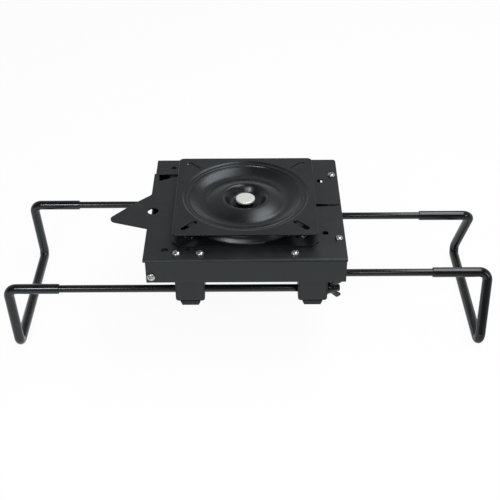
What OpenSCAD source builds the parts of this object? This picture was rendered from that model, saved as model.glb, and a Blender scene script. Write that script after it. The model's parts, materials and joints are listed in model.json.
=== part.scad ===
// Swivel seat base: a dished turntable on a folded steel housing, carried on two
// tube rails with foot strips. Two bent rod frames with soft sleeves slide through
// the rails and are drawn in by wing nuts. Millimetres, Z up. The floor under the
// frames' lower bars is Z = 0 and the origin lies midway between the frames' ends.

/* [Housing] */
// width of the deck sheet along X
deck_w = 247; // [240:1:280]
// depth of the deck sheet along Y
deck_d = 233; // [225:1:270]
// height of the deck's upper face above the floor
deck_z = 153.3; // [145:0.1:180]
// thickness of the folded sheet
sheet = 2; // [1.5:0.1:3]
// height of the housing from deck face to lower edge
housing_h = 33.5; // [28:0.5:45]
// outer radius of the folds
bend_r = 3; // [2.5:0.5:5]

/* [Rails] */
// width of the rail tube
rail_w = 36.5; // [32:0.5:42]
// height of the rail tube
rail_h = 39; // [34:0.5:45]
// wall of the rail tube
rail_wall = 2; // [1.5:0.5:3]
// distance from the skirt's face to the rail's end face
rail_setback = 12; // [8:0.5:14]
// height of the arms' centre line above the rail tube's underside
arm_up = 12.6; // [8:0.1:20]
// distance from the rail tube's end to the outer arms' centre line
arm_inset = 7.2; // [7:0.1:20]
// distance from the left side wall to the left rail's middle
left_rail_in = 51.5; // [40:0.5:60]
// distance from the right side wall to the right rail's middle
right_rail_in = 39.1; // [35:0.1:60]
// width of the foot strips where they meet the rails
foot_w = 25; // [20:0.5:30]
// height of the foot strips
foot_h = 6.3; // [5:0.1:12]

/* [Swivel] */
// distance from the deck's front edge to the edge of the square top plate
plate_margin = 27.6; // [25:0.1:40]
// height of the top plate's face above the deck
plate_rise = 18.4; // [18.4:0.1:20]
// diameter of the balls
ball_d = 6.35; // [5:0.05:6.35]
// number of balls
ball_count = 20; // [8:1:30]
// width of the corner slots
slot_w = 7; // [5:0.5:9]
// overall length of the corner slots
slot_len = 25; // [16:1:30]
// distance from the dish's rim to the inner ends of the corner slots
slot_gap = 3.6; // [2:0.1:6]
// diameter of the pivot's head
pivot_head_d = 24.7; // [20:0.1:28]

/* [Frames] */
// diameter of the frame rod
rod_d = 9.5; // [7:0.1:10]
// outer diameter of the soft sleeve
sleeve_d = 12.8; // [11:0.1:14]
// reach of the left frame from the swivel axis to its bends' corner
left_reach = 298; // [280:0.5:330]
// reach of the right frame from the swivel axis to its bends' corner
right_reach = 309; // [280:0.5:330]
// distance along Y from a left arm to the right arm beside it
arm_step = 30.3; // [25:0.1:45]
// how far each left leg spreads along Y toward the lower bar
left_splay = 3.2; // [0:0.1:15]
// how far each right leg spreads along Y toward the lower bar
right_splay = 40.5; // [10:0.1:45]
// how far the left frame's lower bar is set inward from its arms' bends
left_lean = 4.5; // [0:0.5:15]
// how far the right frame's lower bar is set inward from its arms' bends
right_lean = 8; // [0:0.5:15]
// centre line radius of the rod's bends
rod_bend_r = 10; // [9:0.5:20]
// length of sleeve on each arm of the left frame, from the bend's corner
left_on_arm = 64.5; // [40:0.5:90]
// length of sleeve on each arm of the right frame, from the bend's corner
right_on_arm = 71; // [40:0.5:90]
// length of thread at each arm's end
thread_len = 50; // [30:1:60]

/* [Hidden] */
$fn = 64;
eps = 0.02;
run_gap = 0.05;
slide_gap = 0.08;

deck_under = deck_z - sheet;
housing_low = deck_z - housing_h;
half_w = deck_w / 2;
half_d = deck_d / 2;

// deck outline details
ear_hole = [-half_w + 5, -10.2];
ear_hole_r = 7;
ear_tip = [-half_w - 39.9, -26.4];
ear_tip_r = 8;
ear_root_top = [-half_w, 28];
ear_knee = [-half_w - 18.3, 10.9];
ear_root_low = [-half_w, -48.4];
ear_fillet_r = 7;
rear_inset = 2;
rear_step_y = half_d - 36.5;
rear_corner_r = 7;

// side walls and cross bars
left_wall_x = -half_w + 3;
right_wall_x = half_w - 1;
wall_flange = 14;
left_ledge = 46;
right_ledge = 34.5;
bar_t = 2.5;
bar_depth = 24;
bar_x0 = left_wall_x + wall_flange + 5.5;
bar_x1 = right_wall_x - wall_flange - sheet - 2.5;
bar_clear = 0.2;
screw_row_y = half_d - 13.5;
screw_xs = [left_wall_x + 37.4, left_wall_x + 65.8, right_wall_x - 62.5];
side_screw_x = half_w - 8;
side_screw_y = half_d - 43.5;
wall_inside_d = deck_d - 2 * sheet - 2 * bar_clear;
ledge_d = wall_inside_d - 2 * bar_depth - 1;
skirt_screw_x = left_wall_x + 6.4;
skirt_screw_z = deck_z - 24.3;

// deck screw sizes
screw_d = 5;
screw_head_d = 10.2;
screw_head_h = 3.6;
screw_len = 12;
nut_flats = 8;
nut_h = 4;

// rails
left_rail_x = left_wall_x + left_rail_in;
right_rail_x = right_wall_x - right_rail_in;
rail_top = housing_low;
rail_low = rail_top - rail_h;
rail_mid = rail_low + rail_h / 2;
rail_corner_r = 4;
cap_t = 3;
cap_plug = 10;
rail_len = deck_d - 2 * rail_setback;
tube_len = rail_len - 2 * cap_t;
rail_bolt_y = tube_len / 2 - 6;
rail_bolt_dx = 6.5;
rail_bolt_d = 6;
rail_bolt_flats = 10;
rail_bolt_head_h = 4;
rail_bolt_len = 12;
rail_nut_h = 5;
foot_low = rail_low - foot_h;
foot_slant = 2.2;
foot_screw_y = tube_len / 2 - 31.5;
foot_screw_ys = [-foot_screw_y, 0, foot_screw_y];

// swivel heights
plate_z = deck_z + plate_rise;
plate_w = deck_d - 2 * plate_margin;
race_r = plate_w / 2 - 12.9;
race_rim_r = race_r + 5.5;
slot_r = race_rim_r + slot_gap + slot_len / 2;
slot_xy = slot_r / sqrt(2);
ball_r = ball_d / 2;
ball_gap = 0.03;
race_top_drop = 0.9;
ball_z = plate_z - race_top_drop - sheet - ball_r - ball_gap;
race_floor_z = ball_z - ball_r - ball_gap;
base_top = deck_z + sheet;
base_half = plate_w / 2 + 1.4;
base_cut = 10;
hub_floor_z = deck_z + 5;
rim_r = 30;
// the trough's slopes grow with the space between the crease and the raised ring
trough_k = (race_r - rim_r - 7.8) / 38.2;
well_floor_r = 19.5;
pivot_neck_r = 7.5;
pivot_shank_r = 6;
top_washer_r = 15.6;
top_washer_t = 1.5;
head_top_z = plate_z - 5.4;
head_t = 3;
cage_t = 1;
m8_flats = 13;
m8_nut_h = 6.5;
m8_r = 4;

// frames
rod_r = rod_d / 2;
arm_z = rail_low + arm_up;
left_arm_y = tube_len / 2 - arm_inset;
right_arm_y = left_arm_y - arm_step;
left_bar_y = left_arm_y + left_splay;
right_bar_y = right_arm_y + right_splay;
bar_z = sleeve_d / 2;
sleeve_bore_r = rod_r + run_gap;
thread_r = rod_r - 0.1;
washer_r = 8.6;
washer_t = 1.6;
hub_h = 8;
bend_lap = 1;
bend_fuller = 0.06;
arm_over = 16;
right_face = right_rail_x + rail_w / 2;
left_face = left_rail_x - rail_w / 2;
// how far each wing nut's wings are turned
left_front_spin = -76;
left_rear_spin = 70;
right_front_spin = 8;
right_rear_spin = 115;

function unit(v) = v / norm(v);

// turn from one direction to the next, in degrees
function turn(u, v) = acos(max(-1, min(1, u * v)));

// tangent point on a circle at c of radius r for a line from p, side s = 1 or -1
function tangent(p, c, r, s) =
    let (d = c - p)
    let (dist = norm(d))
    let (a = atan2(d[1], d[0]) + s * asin(r / dist))
    let (reach_t = sqrt(dist * dist - r * r))
    p + reach_t * [cos(a), sin(a)];

// straight round bar between two points
module bar_between(a, b, r) {
    d = b - a;
    polar = acos(d[2] / norm(d));
    azimuth = atan2(d[1], d[0]);
    translate(a)
        rotate([0, polar, azimuth])
            cylinder(r = r, h = norm(d));
}

// one bend of a rod that arrives along u and leaves along v at the corner p
module bend_at(p, u, v, r, radius) {
    angle = turn(u, v);
    n = unit(v - (u * v) * u);
    a = p - u * radius * tan(angle / 2);
    c = a + n * radius;
    w = cross(-n, u);
    multmatrix([
        [-n[0], u[0], w[0], c[0]],
        [-n[1], u[1], w[1], c[1]],
        [-n[2], u[2], w[2], c[2]],
        [0, 0, 0, 1]])
        rotate_extrude(angle = angle)
            translate([radius, 0])
                circle(r = r);
}

// rod along a list of corners, every inner corner bent to the same radius; the
// bends are a hair fuller than the straights, whose ends reach a little into them
module bent_rod(pts, r, radius) {
    last = len(pts) - 1;
    for (i = [0 : last - 1]) {
        u = unit(pts[i + 1] - pts[i]);
        before = i == 0 ? u : unit(pts[i] - pts[i - 1]);
        after = i == last - 1 ? u : unit(pts[i + 2] - pts[i + 1]);
        lap_a = i == 0 ? 0 : bend_lap;
        lap_b = i == last - 1 ? 0 : bend_lap;
        a = pts[i] + u * (radius * tan(turn(before, u) / 2) - lap_a);
        b = pts[i + 1] - u * (radius * tan(turn(u, after) / 2) - lap_b);
        bar_between(a, b, r);
        if (i < last - 1)
            bend_at(pts[i + 1], u, after, r + bend_fuller, radius);
    }
}

// hexagon prism by its width across flats
module hex_prism(flats, h) {
    cylinder(d = flats / cos(30), h = h, $fn = 6);
}

// square with rounded corners, centred
module rounded_square(w, d, r) {
    union() {
        square([w - 2 * r, d], center = true);
        square([w, d - 2 * r], center = true);
        for (sx = [-1, 1], sy = [-1, 1])
            translate([sx * (w / 2 - r), sy * (d / 2 - r)])
                circle(r = r);
    }
}

// long hole lying along X, overall length l
module slot_2d(w, l) {
    square([l - w, w], center = true);
    for (s = [-1, 1])
        translate([s * (l - w) / 2, 0])
            circle(r = w / 2);
}

// pointed ear at the left edge, with its rounded tip and root fillet
module ear_2d() {
    t_top = tangent(ear_knee, ear_tip, ear_tip_r, -1);
    t_low = tangent(ear_root_low, ear_tip, ear_tip_r, 1);
    inner = half_w - 4;
    edge = unit(ear_knee - ear_root_top);
    fillet_y = ear_root_top[1] + ear_fillet_r * (1 + edge[1]) / -edge[0];
    fillet_c = [-half_w - ear_fillet_r, fillet_y];
    foot = fillet_c + ear_fillet_r * [-edge[1], edge[0]];
    difference() {
        union() {
            polygon([[-inner, fillet_y], [-half_w, fillet_y], ear_root_top, ear_knee, t_top,
                ear_tip, t_low, ear_root_low, [-inner, ear_root_low[1]]]);
            translate(ear_tip)
                circle(r = ear_tip_r);
            polygon([[-half_w, fillet_y], fillet_c, foot, ear_root_top]);
        }
        translate(fillet_c)
            circle(r = ear_fillet_r);
    }
}

// outline of the deck seen from above, before the cut-outs
module deck_outline() {
    difference() {
        square([deck_w, deck_d], center = true);
        // inset stretch of the left edge behind the wedge cut-out
        translate([-half_w - 1, rear_step_y])
            square([rear_inset + 1, half_d]);
        translate([half_w - rear_corner_r, half_d - rear_corner_r])
            difference() {
                square(rear_corner_r + 1);
                circle(r = rear_corner_r);
            }
    }
    ear_2d();
}

// every opening in the deck sheet
module deck_openings() {
    translate(ear_hole)
        circle(r = ear_hole_r);
    // wedge cut-out near the rear left corner
    translate([-half_w, half_d])
        polygon([[6.3, -38.1], [37.5, -38.1], [37.5, -41.3], [31, -43.9], [7.5, -54.7]]);
    // tapered slot at the right
    translate([half_w, 0])
        polygon([[-39.5, 5.4], [-2.3, 3.2], [-2.3, 1.6], [-11.5, -0.6], [-39.5, -1.6]]);
    translate([-half_w + 25.5, half_d - 22.3])
        circle(r = 3.4);
    translate([-half_w + 25.5, -half_d + 21.5])
        circle(r = 4);
    translate([-half_w + 53.5, -half_d + 22.3])
        circle(r = 3);
    for (sy = [-1, 1])
        translate([half_w - 24.2, sy * (half_d - 56.5)])
            square(7.2, center = true);
    for (x = screw_xs, sy = [-1, 1])
        translate([x, sy * screw_row_y])
            circle(d = screw_d + 0.4);
    for (sy = [-1, 1])
        translate([side_screw_x, sy * side_screw_y])
            circle(d = screw_d + 0.4);
    for (sx = [-1, 1], sy = [-1, 1])
        translate([sx * slot_xy, sy * slot_xy])
            circle(r = m8_r + 0.3);
    circle(r = pivot_shank_r + 0.2);
}

// section of the folded sheet across Y: flat deck with a skirt at front and rear
module deck_section() {
    inner_r = bend_r - sheet;
    difference() {
        union() {
            translate([-half_d + bend_r, housing_low])
                square([deck_d - 2 * bend_r, housing_h]);
            translate([-half_d, housing_low])
                square([deck_d, housing_h - bend_r]);
            for (s = [-1, 1])
                translate([s * (half_d - bend_r), deck_z - bend_r])
                    circle(r = bend_r);
        }
        translate([-half_d + bend_r, housing_low - 1])
            square([deck_d - 2 * bend_r, housing_h - sheet + 1]);
        translate([-half_d + sheet, housing_low - 1])
            square([deck_d - 2 * sheet, housing_h - bend_r + 1]);
        for (s = [-1, 1])
            translate([s * (half_d - bend_r), deck_z - bend_r])
                circle(r = inner_r);
    }
}

module deck_plate() {
    color("dimgray")
        difference() {
            union() {
                intersection() {
                    translate([-half_w, 0, 0])
                        rotate([90, 0, 90])
                            linear_extrude(height = deck_w)
                                deck_section();
                    translate([0, 0, housing_low - 1])
                        linear_extrude(height = housing_h + 2)
                            deck_outline();
                }
                translate([0, 0, deck_under])
                    linear_extrude(height = sheet)
                        ear_2d();
            }
            translate([0, 0, deck_under - 1])
                linear_extrude(height = sheet + 2)
                    deck_openings();
            // skirts end short of the deck's side edges
            translate([-half_w - 1, -half_d - 1, housing_low - 1])
                cube([1 + half_w + left_wall_x, deck_d + 2, housing_h - bend_r + 1]);
            translate([right_wall_x, -half_d - 1, housing_low - 1])
                cube([4, deck_d + 2, housing_h - bend_r + 1]);
            // the rear skirt stops short of the rounded corner
            translate([half_w - rear_corner_r - 1, half_d - bend_r - 0.5, housing_low - 1])
                cube([rear_corner_r + 2, bend_r + 1, housing_h - bend_r + 1]);
            for (sy = [-1, 1])
                translate([skirt_screw_x, sy * half_d, skirt_screw_z])
                    rotate([90, 0, 0])
                        cylinder(d = screw_d + 0.4, h = 12, center = true);
        }
}

// room for the inner radius of the deck's folds
module fold_relief() {
    cut = bend_r - sheet + 0.2;
    for (s = [-1, 1])
        translate([0, s * (half_d - sheet), deck_under])
            cube([deck_w, 2 * cut, 2 * cut], center = true);
}

// folded wall, closed at both ends, with a lower flange that rests on the rail
module left_side_wall() {
    color("dimgray")
        difference() {
            union() {
                translate([left_wall_x, -wall_inside_d / 2, housing_low])
                    difference() {
                        cube([wall_flange, wall_inside_d, deck_under - housing_low]);
                        translate([sheet, sheet, sheet])
                            cube([wall_flange, wall_inside_d - 2 * sheet, housing_h]);
                    }
                translate([left_wall_x, -ledge_d / 2, housing_low])
                    cube([left_ledge, ledge_d, sheet]);
            }
            fold_relief();
            for (sy = [-1, 1])
                translate([skirt_screw_x, sy * half_d, skirt_screw_z])
                    rotate([90, 0, 0])
                        cylinder(d = screw_d + 0.4, h = 16, center = true);
        }
}

// folded wall with an upper flange under the deck and a lower one that rests on the rail
module right_side_wall() {
    channel_w = wall_flange + sheet;
    channel_h = deck_under - housing_low;
    color("dimgray")
        difference() {
            union() {
                translate([right_wall_x - channel_w, -wall_inside_d / 2, housing_low])
                    difference() {
                        cube([channel_w, wall_inside_d, channel_h]);
                        translate([-sheet, -1, sheet])
                            cube([channel_w, wall_inside_d + 2, channel_h - 2 * sheet]);
                    }
                translate([right_wall_x - right_ledge, -ledge_d / 2, housing_low])
                    cube([right_ledge, ledge_d, sheet]);
            }
            for (sy = [-1, 1])
                translate([side_screw_x, sy * side_screw_y, deck_under - sheet - 1])
                    cylinder(d = screw_d + 0.4, h = sheet + 2);
            fold_relief();
            // relief around the rounded rear corner of the deck
            translate([half_w - rear_corner_r, half_d - rear_corner_r, housing_low - 1])
                cube([rear_corner_r, rear_corner_r, housing_h]);
        }
}

// channel bar that joins the rails under the deck, web against the skirt
module cross_bar(side) {
    h = deck_under - housing_low;
    y_out = half_d - sheet - bar_clear;
    color("dimgray")
        difference() {
            translate([bar_x0, side > 0 ? y_out - bar_depth : -y_out, housing_low])
                cube([bar_x1 - bar_x0, bar_depth, h]);
            translate([bar_x0 - 1, side > 0 ? y_out - bar_depth - 1 : -y_out + bar_t,
                housing_low + bar_t])
                cube([bar_x1 - bar_x0 + 2, bar_depth - bar_t + 1, h - 2 * bar_t]);
            fold_relief();
            for (x = screw_xs)
                translate([x, side * screw_row_y, deck_under - bar_t - 1])
                    cylinder(d = screw_d + 0.4, h = bar_t + 2);
            for (x = [left_rail_x, right_rail_x], s = [-1, 1])
                translate([x + s * rail_bolt_dx, side * rail_bolt_y, housing_low - 1])
                    cylinder(d = rail_bolt_d + 0.4, h = bar_t + 2);
        }
}

// pan head screw standing on z = 0 with a cross recess, shank downward
module pan_screw() {
    difference() {
        union() {
            rotate_extrude()
                polygon([[0, 0], [screw_head_d / 2, 0], [screw_head_d / 2, 1.1],
                    [screw_head_d / 2 - 0.5, 2.2], [screw_head_d / 2 - 1.6, 3.1],
                    [screw_head_d / 2 - 3, screw_head_h], [0, screw_head_h]]);
            translate([0, 0, -screw_len])
                cylinder(d = screw_d, h = screw_len + eps);
        }
        for (a = [0, 90])
            rotate([0, 0, a])
                translate([-2.4, -0.55, screw_head_h - 1.6])
                    cube([4.8, 1.1, 3]);
    }
}

module screw_nut(h) {
    difference() {
        hex_prism(nut_flats, h);
        translate([0, 0, -1])
            cylinder(d = screw_d, h = h + 2);
    }
}

module deck_screws() {
    color("silver") {
        for (x = screw_xs, sy = [-1, 1])
            translate([x, sy * screw_row_y, deck_z])
                pan_screw();
        for (sy = [-1, 1])
            translate([side_screw_x, sy * side_screw_y, deck_z])
                pan_screw();
        for (sy = [-1, 1])
            translate([skirt_screw_x, sy * half_d, skirt_screw_z])
                rotate([-sy * 90, 0, 0])
                    pan_screw();
    }
}

module deck_screw_nuts() {
    color("silver") {
        for (x = screw_xs, sy = [-1, 1])
            translate([x, sy * screw_row_y, deck_under - bar_t - nut_h])
                screw_nut(nut_h);
        for (sy = [-1, 1])
            translate([side_screw_x, sy * side_screw_y, deck_under - sheet - nut_h])
                screw_nut(nut_h);
        for (sy = [-1, 1])
            translate([skirt_screw_x, sy * (half_d - 2 * sheet - bar_clear), skirt_screw_z])
                rotate([sy * 90, 0, 0])
                    rotate([0, 0, 30])
                        screw_nut(nut_h);
    }
}

module rail(x) {
    wall_reach = rail_w / 2 + 1;
    color("dimgray")
        translate([x, 0, rail_mid])
            difference() {
                rotate([90, 0, 0])
                    linear_extrude(height = tube_len, center = true)
                        difference() {
                            rounded_square(rail_w, rail_h, rail_corner_r);
                            rounded_square(rail_w - 2 * rail_wall, rail_h - 2 * rail_wall,
                                rail_corner_r - rail_wall);
                        }
                for (y = [-left_arm_y, -right_arm_y, right_arm_y, left_arm_y])
                    translate([-wall_reach, y, arm_z - rail_mid])
                        rotate([0, 90, 0])
                            cylinder(r = rod_r + slide_gap, h = 2 * wall_reach);
                for (s = [-1, 1], sy = [-1, 1])
                    translate([s * rail_bolt_dx, sy * rail_bolt_y, rail_h / 2 - rail_wall - 1])
                        cylinder(d = rail_bolt_d + 0.4, h = rail_wall + 2);
                for (y = foot_screw_ys)
                    translate([0, y, -rail_h / 2 - 1])
                        cylinder(d = screw_d, h = rail_wall + 2);
            }
}

// moulded cap that closes a rail's end, plug pointing toward the rail
module end_cap() {
    plug_w = rail_w - 2 * rail_wall - 0.4;
    plug_h = rail_h - 2 * rail_wall - 0.4;
    relief_top = arm_z - rail_mid + rod_r + 1;
    rotate([90, 0, 0]) {
        linear_extrude(height = cap_t - 1)
            rounded_square(rail_w, rail_h, rail_corner_r);
        translate([0, 0, cap_t - 1 - eps])
            linear_extrude(height = 1 + eps)
                rounded_square(rail_w - 2, rail_h - 2, rail_corner_r - 1);
        translate([0, 0, -cap_plug])
            linear_extrude(height = cap_plug + eps)
                difference() {
                    rounded_square(plug_w, plug_h, 1.6);
                    // relief for the arm and the bolts, open at the lower side
                    square([plug_w - 5, plug_h - 5], center = true);
                    translate([-plug_w / 2 - 1, -plug_h / 2 - 1])
                        square([plug_w + 2, relief_top + plug_h / 2 + 1]);
                    translate([0, plug_h / 2 - 2])
                        square([plug_w - 5, 6], center = true);
                }
    }
}

module rail_end_caps() {
    color("black")
        for (x = [left_rail_x, right_rail_x]) {
            translate([x, -tube_len / 2, rail_mid])
                end_cap();
            translate([x, tube_len / 2, rail_mid])
                rotate([0, 0, 180])
                    end_cap();
        }
}

module rail_bolts() {
    color("silver")
        for (x = [left_rail_x, right_rail_x], s = [-1, 1], sy = [-1, 1])
            translate([x + s * rail_bolt_dx, sy * rail_bolt_y, rail_top + bar_t]) {
                hex_prism(rail_bolt_flats, rail_bolt_head_h);
                translate([0, 0, -rail_bolt_len])
                    cylinder(d = rail_bolt_d, h = rail_bolt_len + eps);
            }
}

module rail_bolt_nuts() {
    color("silver")
        for (x = [left_rail_x, right_rail_x], s = [-1, 1], sy = [-1, 1])
            translate([x + s * rail_bolt_dx, sy * rail_bolt_y, rail_top - rail_wall - rail_nut_h])
                difference() {
                    hex_prism(rail_bolt_flats, rail_nut_h);
                    translate([0, 0, -1])
                        cylinder(d = rail_bolt_d, h = rail_nut_h + 2);
                }
}

module foot_strip(x) {
    half = foot_w / 2;
    color("black")
        translate([x, 0, foot_low])
            difference() {
                rotate([90, 0, 0])
                    linear_extrude(height = rail_len, center = true)
                        polygon([[-half, foot_h], [-half, foot_h - 1], [-half + foot_slant, 0],
                            [half - foot_slant, 0], [half, foot_h - 1], [half, foot_h]]);
                for (y = foot_screw_ys)
                    translate([0, y, -1]) {
                        cylinder(d = screw_d + 0.4, h = foot_h + 2);
                        cylinder(d = screw_head_d + 1, h = 1 + foot_h - 3);
                    }
            }
}

module foot_screws() {
    color("silver")
        for (x = [left_rail_x, right_rail_x], y = foot_screw_ys)
            translate([x, y, rail_low - 3]) {
                translate([0, 0, -2.6])
                    cylinder(d = screw_head_d - 1.2, h = 2.6);
                cylinder(d = screw_d, h = 3 + rail_wall + 3);
            }
}

// radial section of the dished top plate: upper line, from the rim to the hub
function dish_top() = let (outer = race_r - 5.8, inner = rim_r + 2) [
    [race_rim_r, 0], [race_r + 3.5, -0.3], [race_r + 2, -race_top_drop],
    [race_r - 1.6, -race_top_drop], [race_r - 3, -1.9], [race_r - 4, -3],
    [race_r - 4.8, -3.2], [outer, -4.2], [outer - 3.2 * trough_k, -5.9],
    [outer - 8.2 * trough_k, -7.9], [outer - 13.2 * trough_k, -9],
    [inner + 20 * trough_k, -9.2], [inner + 15 * trough_k, -8.4],
    [inner + 10 * trough_k, -6.7], [inner + 6 * trough_k, -5],
    [inner + 2.5 * trough_k, -3.6], [inner, -3], [rim_r, -2.9],
    [rim_r - 1.7, -3.5], [rim_r - 3.4, -5.2], [rim_r - 5.2, -8.2], [rim_r - 6.8, -11],
    [rim_r - 8.4, -12.7], [well_floor_r, hub_floor_z - plate_z]];

// lower line of the same section, one sheet thickness inside
function dish_low() = let (outer = race_r - 6.6, inner = rim_r + 1.8) [
    [race_rim_r, -sheet], [race_r + 3.5, -sheet - 0.3], [race_r + 2.2, -sheet - race_top_drop],
    [race_r - 2.4, -sheet - race_top_drop], [race_r - 3.6, -3.4], [race_r - 5, -5],
    [outer, -6.2], [outer - 3.4 * trough_k, -7.9], [outer - 8 * trough_k, -9.9],
    [outer - 12.6 * trough_k, -11], [inner + 20.2 * trough_k, -11.2],
    [inner + 14.8 * trough_k, -10.4], [inner + 9.4 * trough_k, -8.6],
    [inner + 5.4 * trough_k, -6.9], [inner + 2.2 * trough_k, -5.6], [inner, -5],
    [rim_r + 0.2, -5.2], [rim_r - 1.3, -6.6], [rim_r - 3.2, -9.6], [rim_r - 4.8, -12.4],
    [rim_r - 6.8, -14.6], [well_floor_r, hub_floor_z - sheet - plate_z]];

module plate_slots() {
    for (a = [45 : 90 : 315])
        rotate([0, 0, a])
            translate([slot_r, 0])
                slot_2d(slot_w, slot_len);
}

module swivel_top_plate() {
    low = dish_low();
    reversed = [for (i = [len(low) - 1 : -1 : 0]) low[i]];
    color("dimgray")
        translate([0, 0, plate_z]) {
            // square rim with the corner slots
            translate([0, 0, -sheet])
                linear_extrude(height = sheet)
                    difference() {
                        rounded_square(plate_w, plate_w, 6);
                        circle(r = race_rim_r);
                        plate_slots();
                    }
            // pressed dish and hub floor
            rotate_extrude($fn = 96)
                polygon(concat([[race_rim_r + 0.1, -sheet], [race_rim_r + 0.1, 0]], dish_top(),
                    [[pivot_shank_r + run_gap, hub_floor_z - plate_z],
                    [pivot_shank_r + run_gap, hub_floor_z - sheet - plate_z]], reversed));
        }
}

// fixed plate with a raised ring bead that carries the balls
module swivel_base_plate() {
    lift = race_floor_z - base_top;
    color("dimgray")
        translate([0, 0, base_top]) {
            translate([0, 0, -sheet])
                linear_extrude(height = sheet)
                    difference() {
                        intersection() {
                            square(2 * base_half, center = true);
                            rotate([0, 0, 45])
                                square((4 * base_half - 2 * base_cut) / sqrt(2), center = true);
                        }
                        circle(r = race_r + 8);
                        for (sx = [-1, 1], sy = [-1, 1])
                            translate([sx * slot_xy, sy * slot_xy])
                                circle(r = m8_r + 0.3);
                    }
            translate([0, 0, -sheet])
                linear_extrude(height = sheet)
                    difference() {
                        circle(r = race_r - 8);
                        circle(r = pivot_shank_r + 0.2);
                    }
            rotate_extrude($fn = 96)
                translate([race_r, 0])
                    polygon([[8.1, 0], [7, 0], [5.6, lift], [4.6, lift + 1.4], [3.3, lift + 1.4],
                        [1.9, 0.25 + lift], [1, lift], [-1, lift], [-1.9, 0.25 + lift],
                        [-3.3, lift + 1.4], [-4.6, lift + 1.4], [-5.6, lift], [-7, 0],
                        [-8.1, 0], [-8.1, -sheet], [-5.4, -sheet], [-3.9, lift - 1.2],
                        [-3.4, lift - 0.6], [-1.7, lift - sheet], [1.7, lift - sheet],
                        [3.4, lift - 0.6], [3.9, lift - 1.2], [5.4, -sheet], [8.1, -sheet]]);
        }
}

// low round heads, reached with a hexagon key through the top plate's corner slots
module base_plate_bolts() {
    color("black")
        for (sx = [-1, 1], sy = [-1, 1])
            translate([sx * slot_xy, sy * slot_xy, base_top])
                difference() {
                    union() {
                        rotate_extrude()
                            polygon([[0, 0], [6.5, 0], [6.5, 0.6], [5.8, 1.8], [4.4, 2.6], [0, 2.6]]);
                        translate([0, 0, -14])
                            cylinder(r = m8_r, h = 14 + eps);
                    }
                    translate([0, 0, 0.6])
                        hex_prism(5, 3);
                }
}

module base_plate_nuts() {
    color("silver")
        for (sx = [-1, 1], sy = [-1, 1])
            translate([sx * slot_xy, sy * slot_xy, deck_under - m8_nut_h])
                difference() {
                    hex_prism(m8_flats, m8_nut_h);
                    translate([0, 0, -1])
                        cylinder(r = m8_r, h = m8_nut_h + 2);
                }
}

module bearing_balls() {
    color("silver")
        for (i = [0 : ball_count - 1])
            rotate([0, 0, i * 360 / ball_count])
                translate([race_r, 0, ball_z])
                    sphere(r = ball_r, $fn = 24);
}

module ball_cage() {
    color("goldenrod")
        translate([0, 0, ball_z - cage_t / 2])
            linear_extrude(height = cage_t)
                difference() {
                    circle(r = race_r + ball_r + 0.9);
                    circle(r = race_r - ball_r - 0.9);
                    for (i = [0 : ball_count - 1])
                        rotate([0, 0, i * 360 / ball_count])
                            translate([race_r, 0])
                                circle(r = ball_r + run_gap);
                }
}

module pivot_bolt() {
    neck_low = hub_floor_z + top_washer_t;
    color("silver") {
        translate([0, 0, head_top_z - head_t])
            rotate_extrude()
                polygon([[0, 0], [pivot_head_d / 2, 0], [pivot_head_d / 2, head_t - 0.8],
                    [pivot_head_d / 2 - 0.8, head_t], [0, head_t]]);
        translate([0, 0, neck_low])
            cylinder(r = pivot_neck_r, h = head_top_z - head_t - neck_low + eps);
        translate([0, 0, deck_under - 9])
            cylinder(r = pivot_shank_r, h = neck_low - deck_under + 9 + eps);
    }
}

module pivot_top_washer() {
    color("gray")
        translate([0, 0, hub_floor_z + run_gap])
            difference() {
                cylinder(r = top_washer_r, h = top_washer_t - run_gap);
                translate([0, 0, -1])
                    cylinder(r = pivot_shank_r + run_gap, h = top_washer_t + 2);
            }
}

module pivot_hub_washer() {
    t = hub_floor_z - sheet - base_top;
    color("gray")
        translate([0, 0, base_top])
            difference() {
                cylinder(r = 16, h = t - run_gap);
                translate([0, 0, -1])
                    cylinder(r = pivot_shank_r + run_gap, h = t + 2);
            }
}

module pivot_nut() {
    color("silver")
        translate([0, 0, deck_under - 8])
            difference() {
                hex_prism(19, 8);
                translate([0, 0, -1])
                    cylinder(r = pivot_shank_r, h = 10);
            }
}

// corners of the left frame, from the front arm's end round to the rear arm's end
function left_path() = let (x_end = right_face + arm_over) [
    [x_end, -left_arm_y, arm_z],
    [-left_reach, -left_arm_y, arm_z],
    [-left_reach + left_lean, -left_bar_y, bar_z],
    [-left_reach + left_lean, left_bar_y, bar_z],
    [-left_reach, left_arm_y, arm_z],
    [x_end, left_arm_y, arm_z]];

// corners of the right frame, whose legs spread toward the lower bar
function right_path() = let (x_end = left_face - arm_over) [
    [x_end, -right_arm_y, arm_z],
    [right_reach, -right_arm_y, arm_z],
    [right_reach - right_lean, -right_bar_y, bar_z],
    [right_reach - right_lean, right_bar_y, bar_z],
    [right_reach, right_arm_y, arm_z],
    [x_end, right_arm_y, arm_z]];

// shortened copy of a path for the sleeve: starts and ends on the arms
function sleeve_path(p, x) = [
    [x, p[0][1], arm_z], p[1], p[2], p[3], p[4], [x, p[5][1], arm_z]];

// frame rod with its two threaded ends turned slightly smaller
module frame_rod(p, s) {
    x_end = p[0][0];
    x_thread = x_end + s * thread_len;
    x_inside = x_thread + s * bend_lap;
    inner = [[x_thread, p[0][1], arm_z], p[1], p[2], p[3], p[4],
        [x_thread, p[5][1], arm_z]];
    color("black") {
        bent_rod(inner, rod_r, rod_bend_r);
        for (y = [p[0][1], p[5][1]])
            translate([min(x_end, x_inside), y, arm_z])
                rotate([0, 90, 0])
                    cylinder(r = thread_r, h = thread_len + bend_lap);
    }
}

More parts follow.
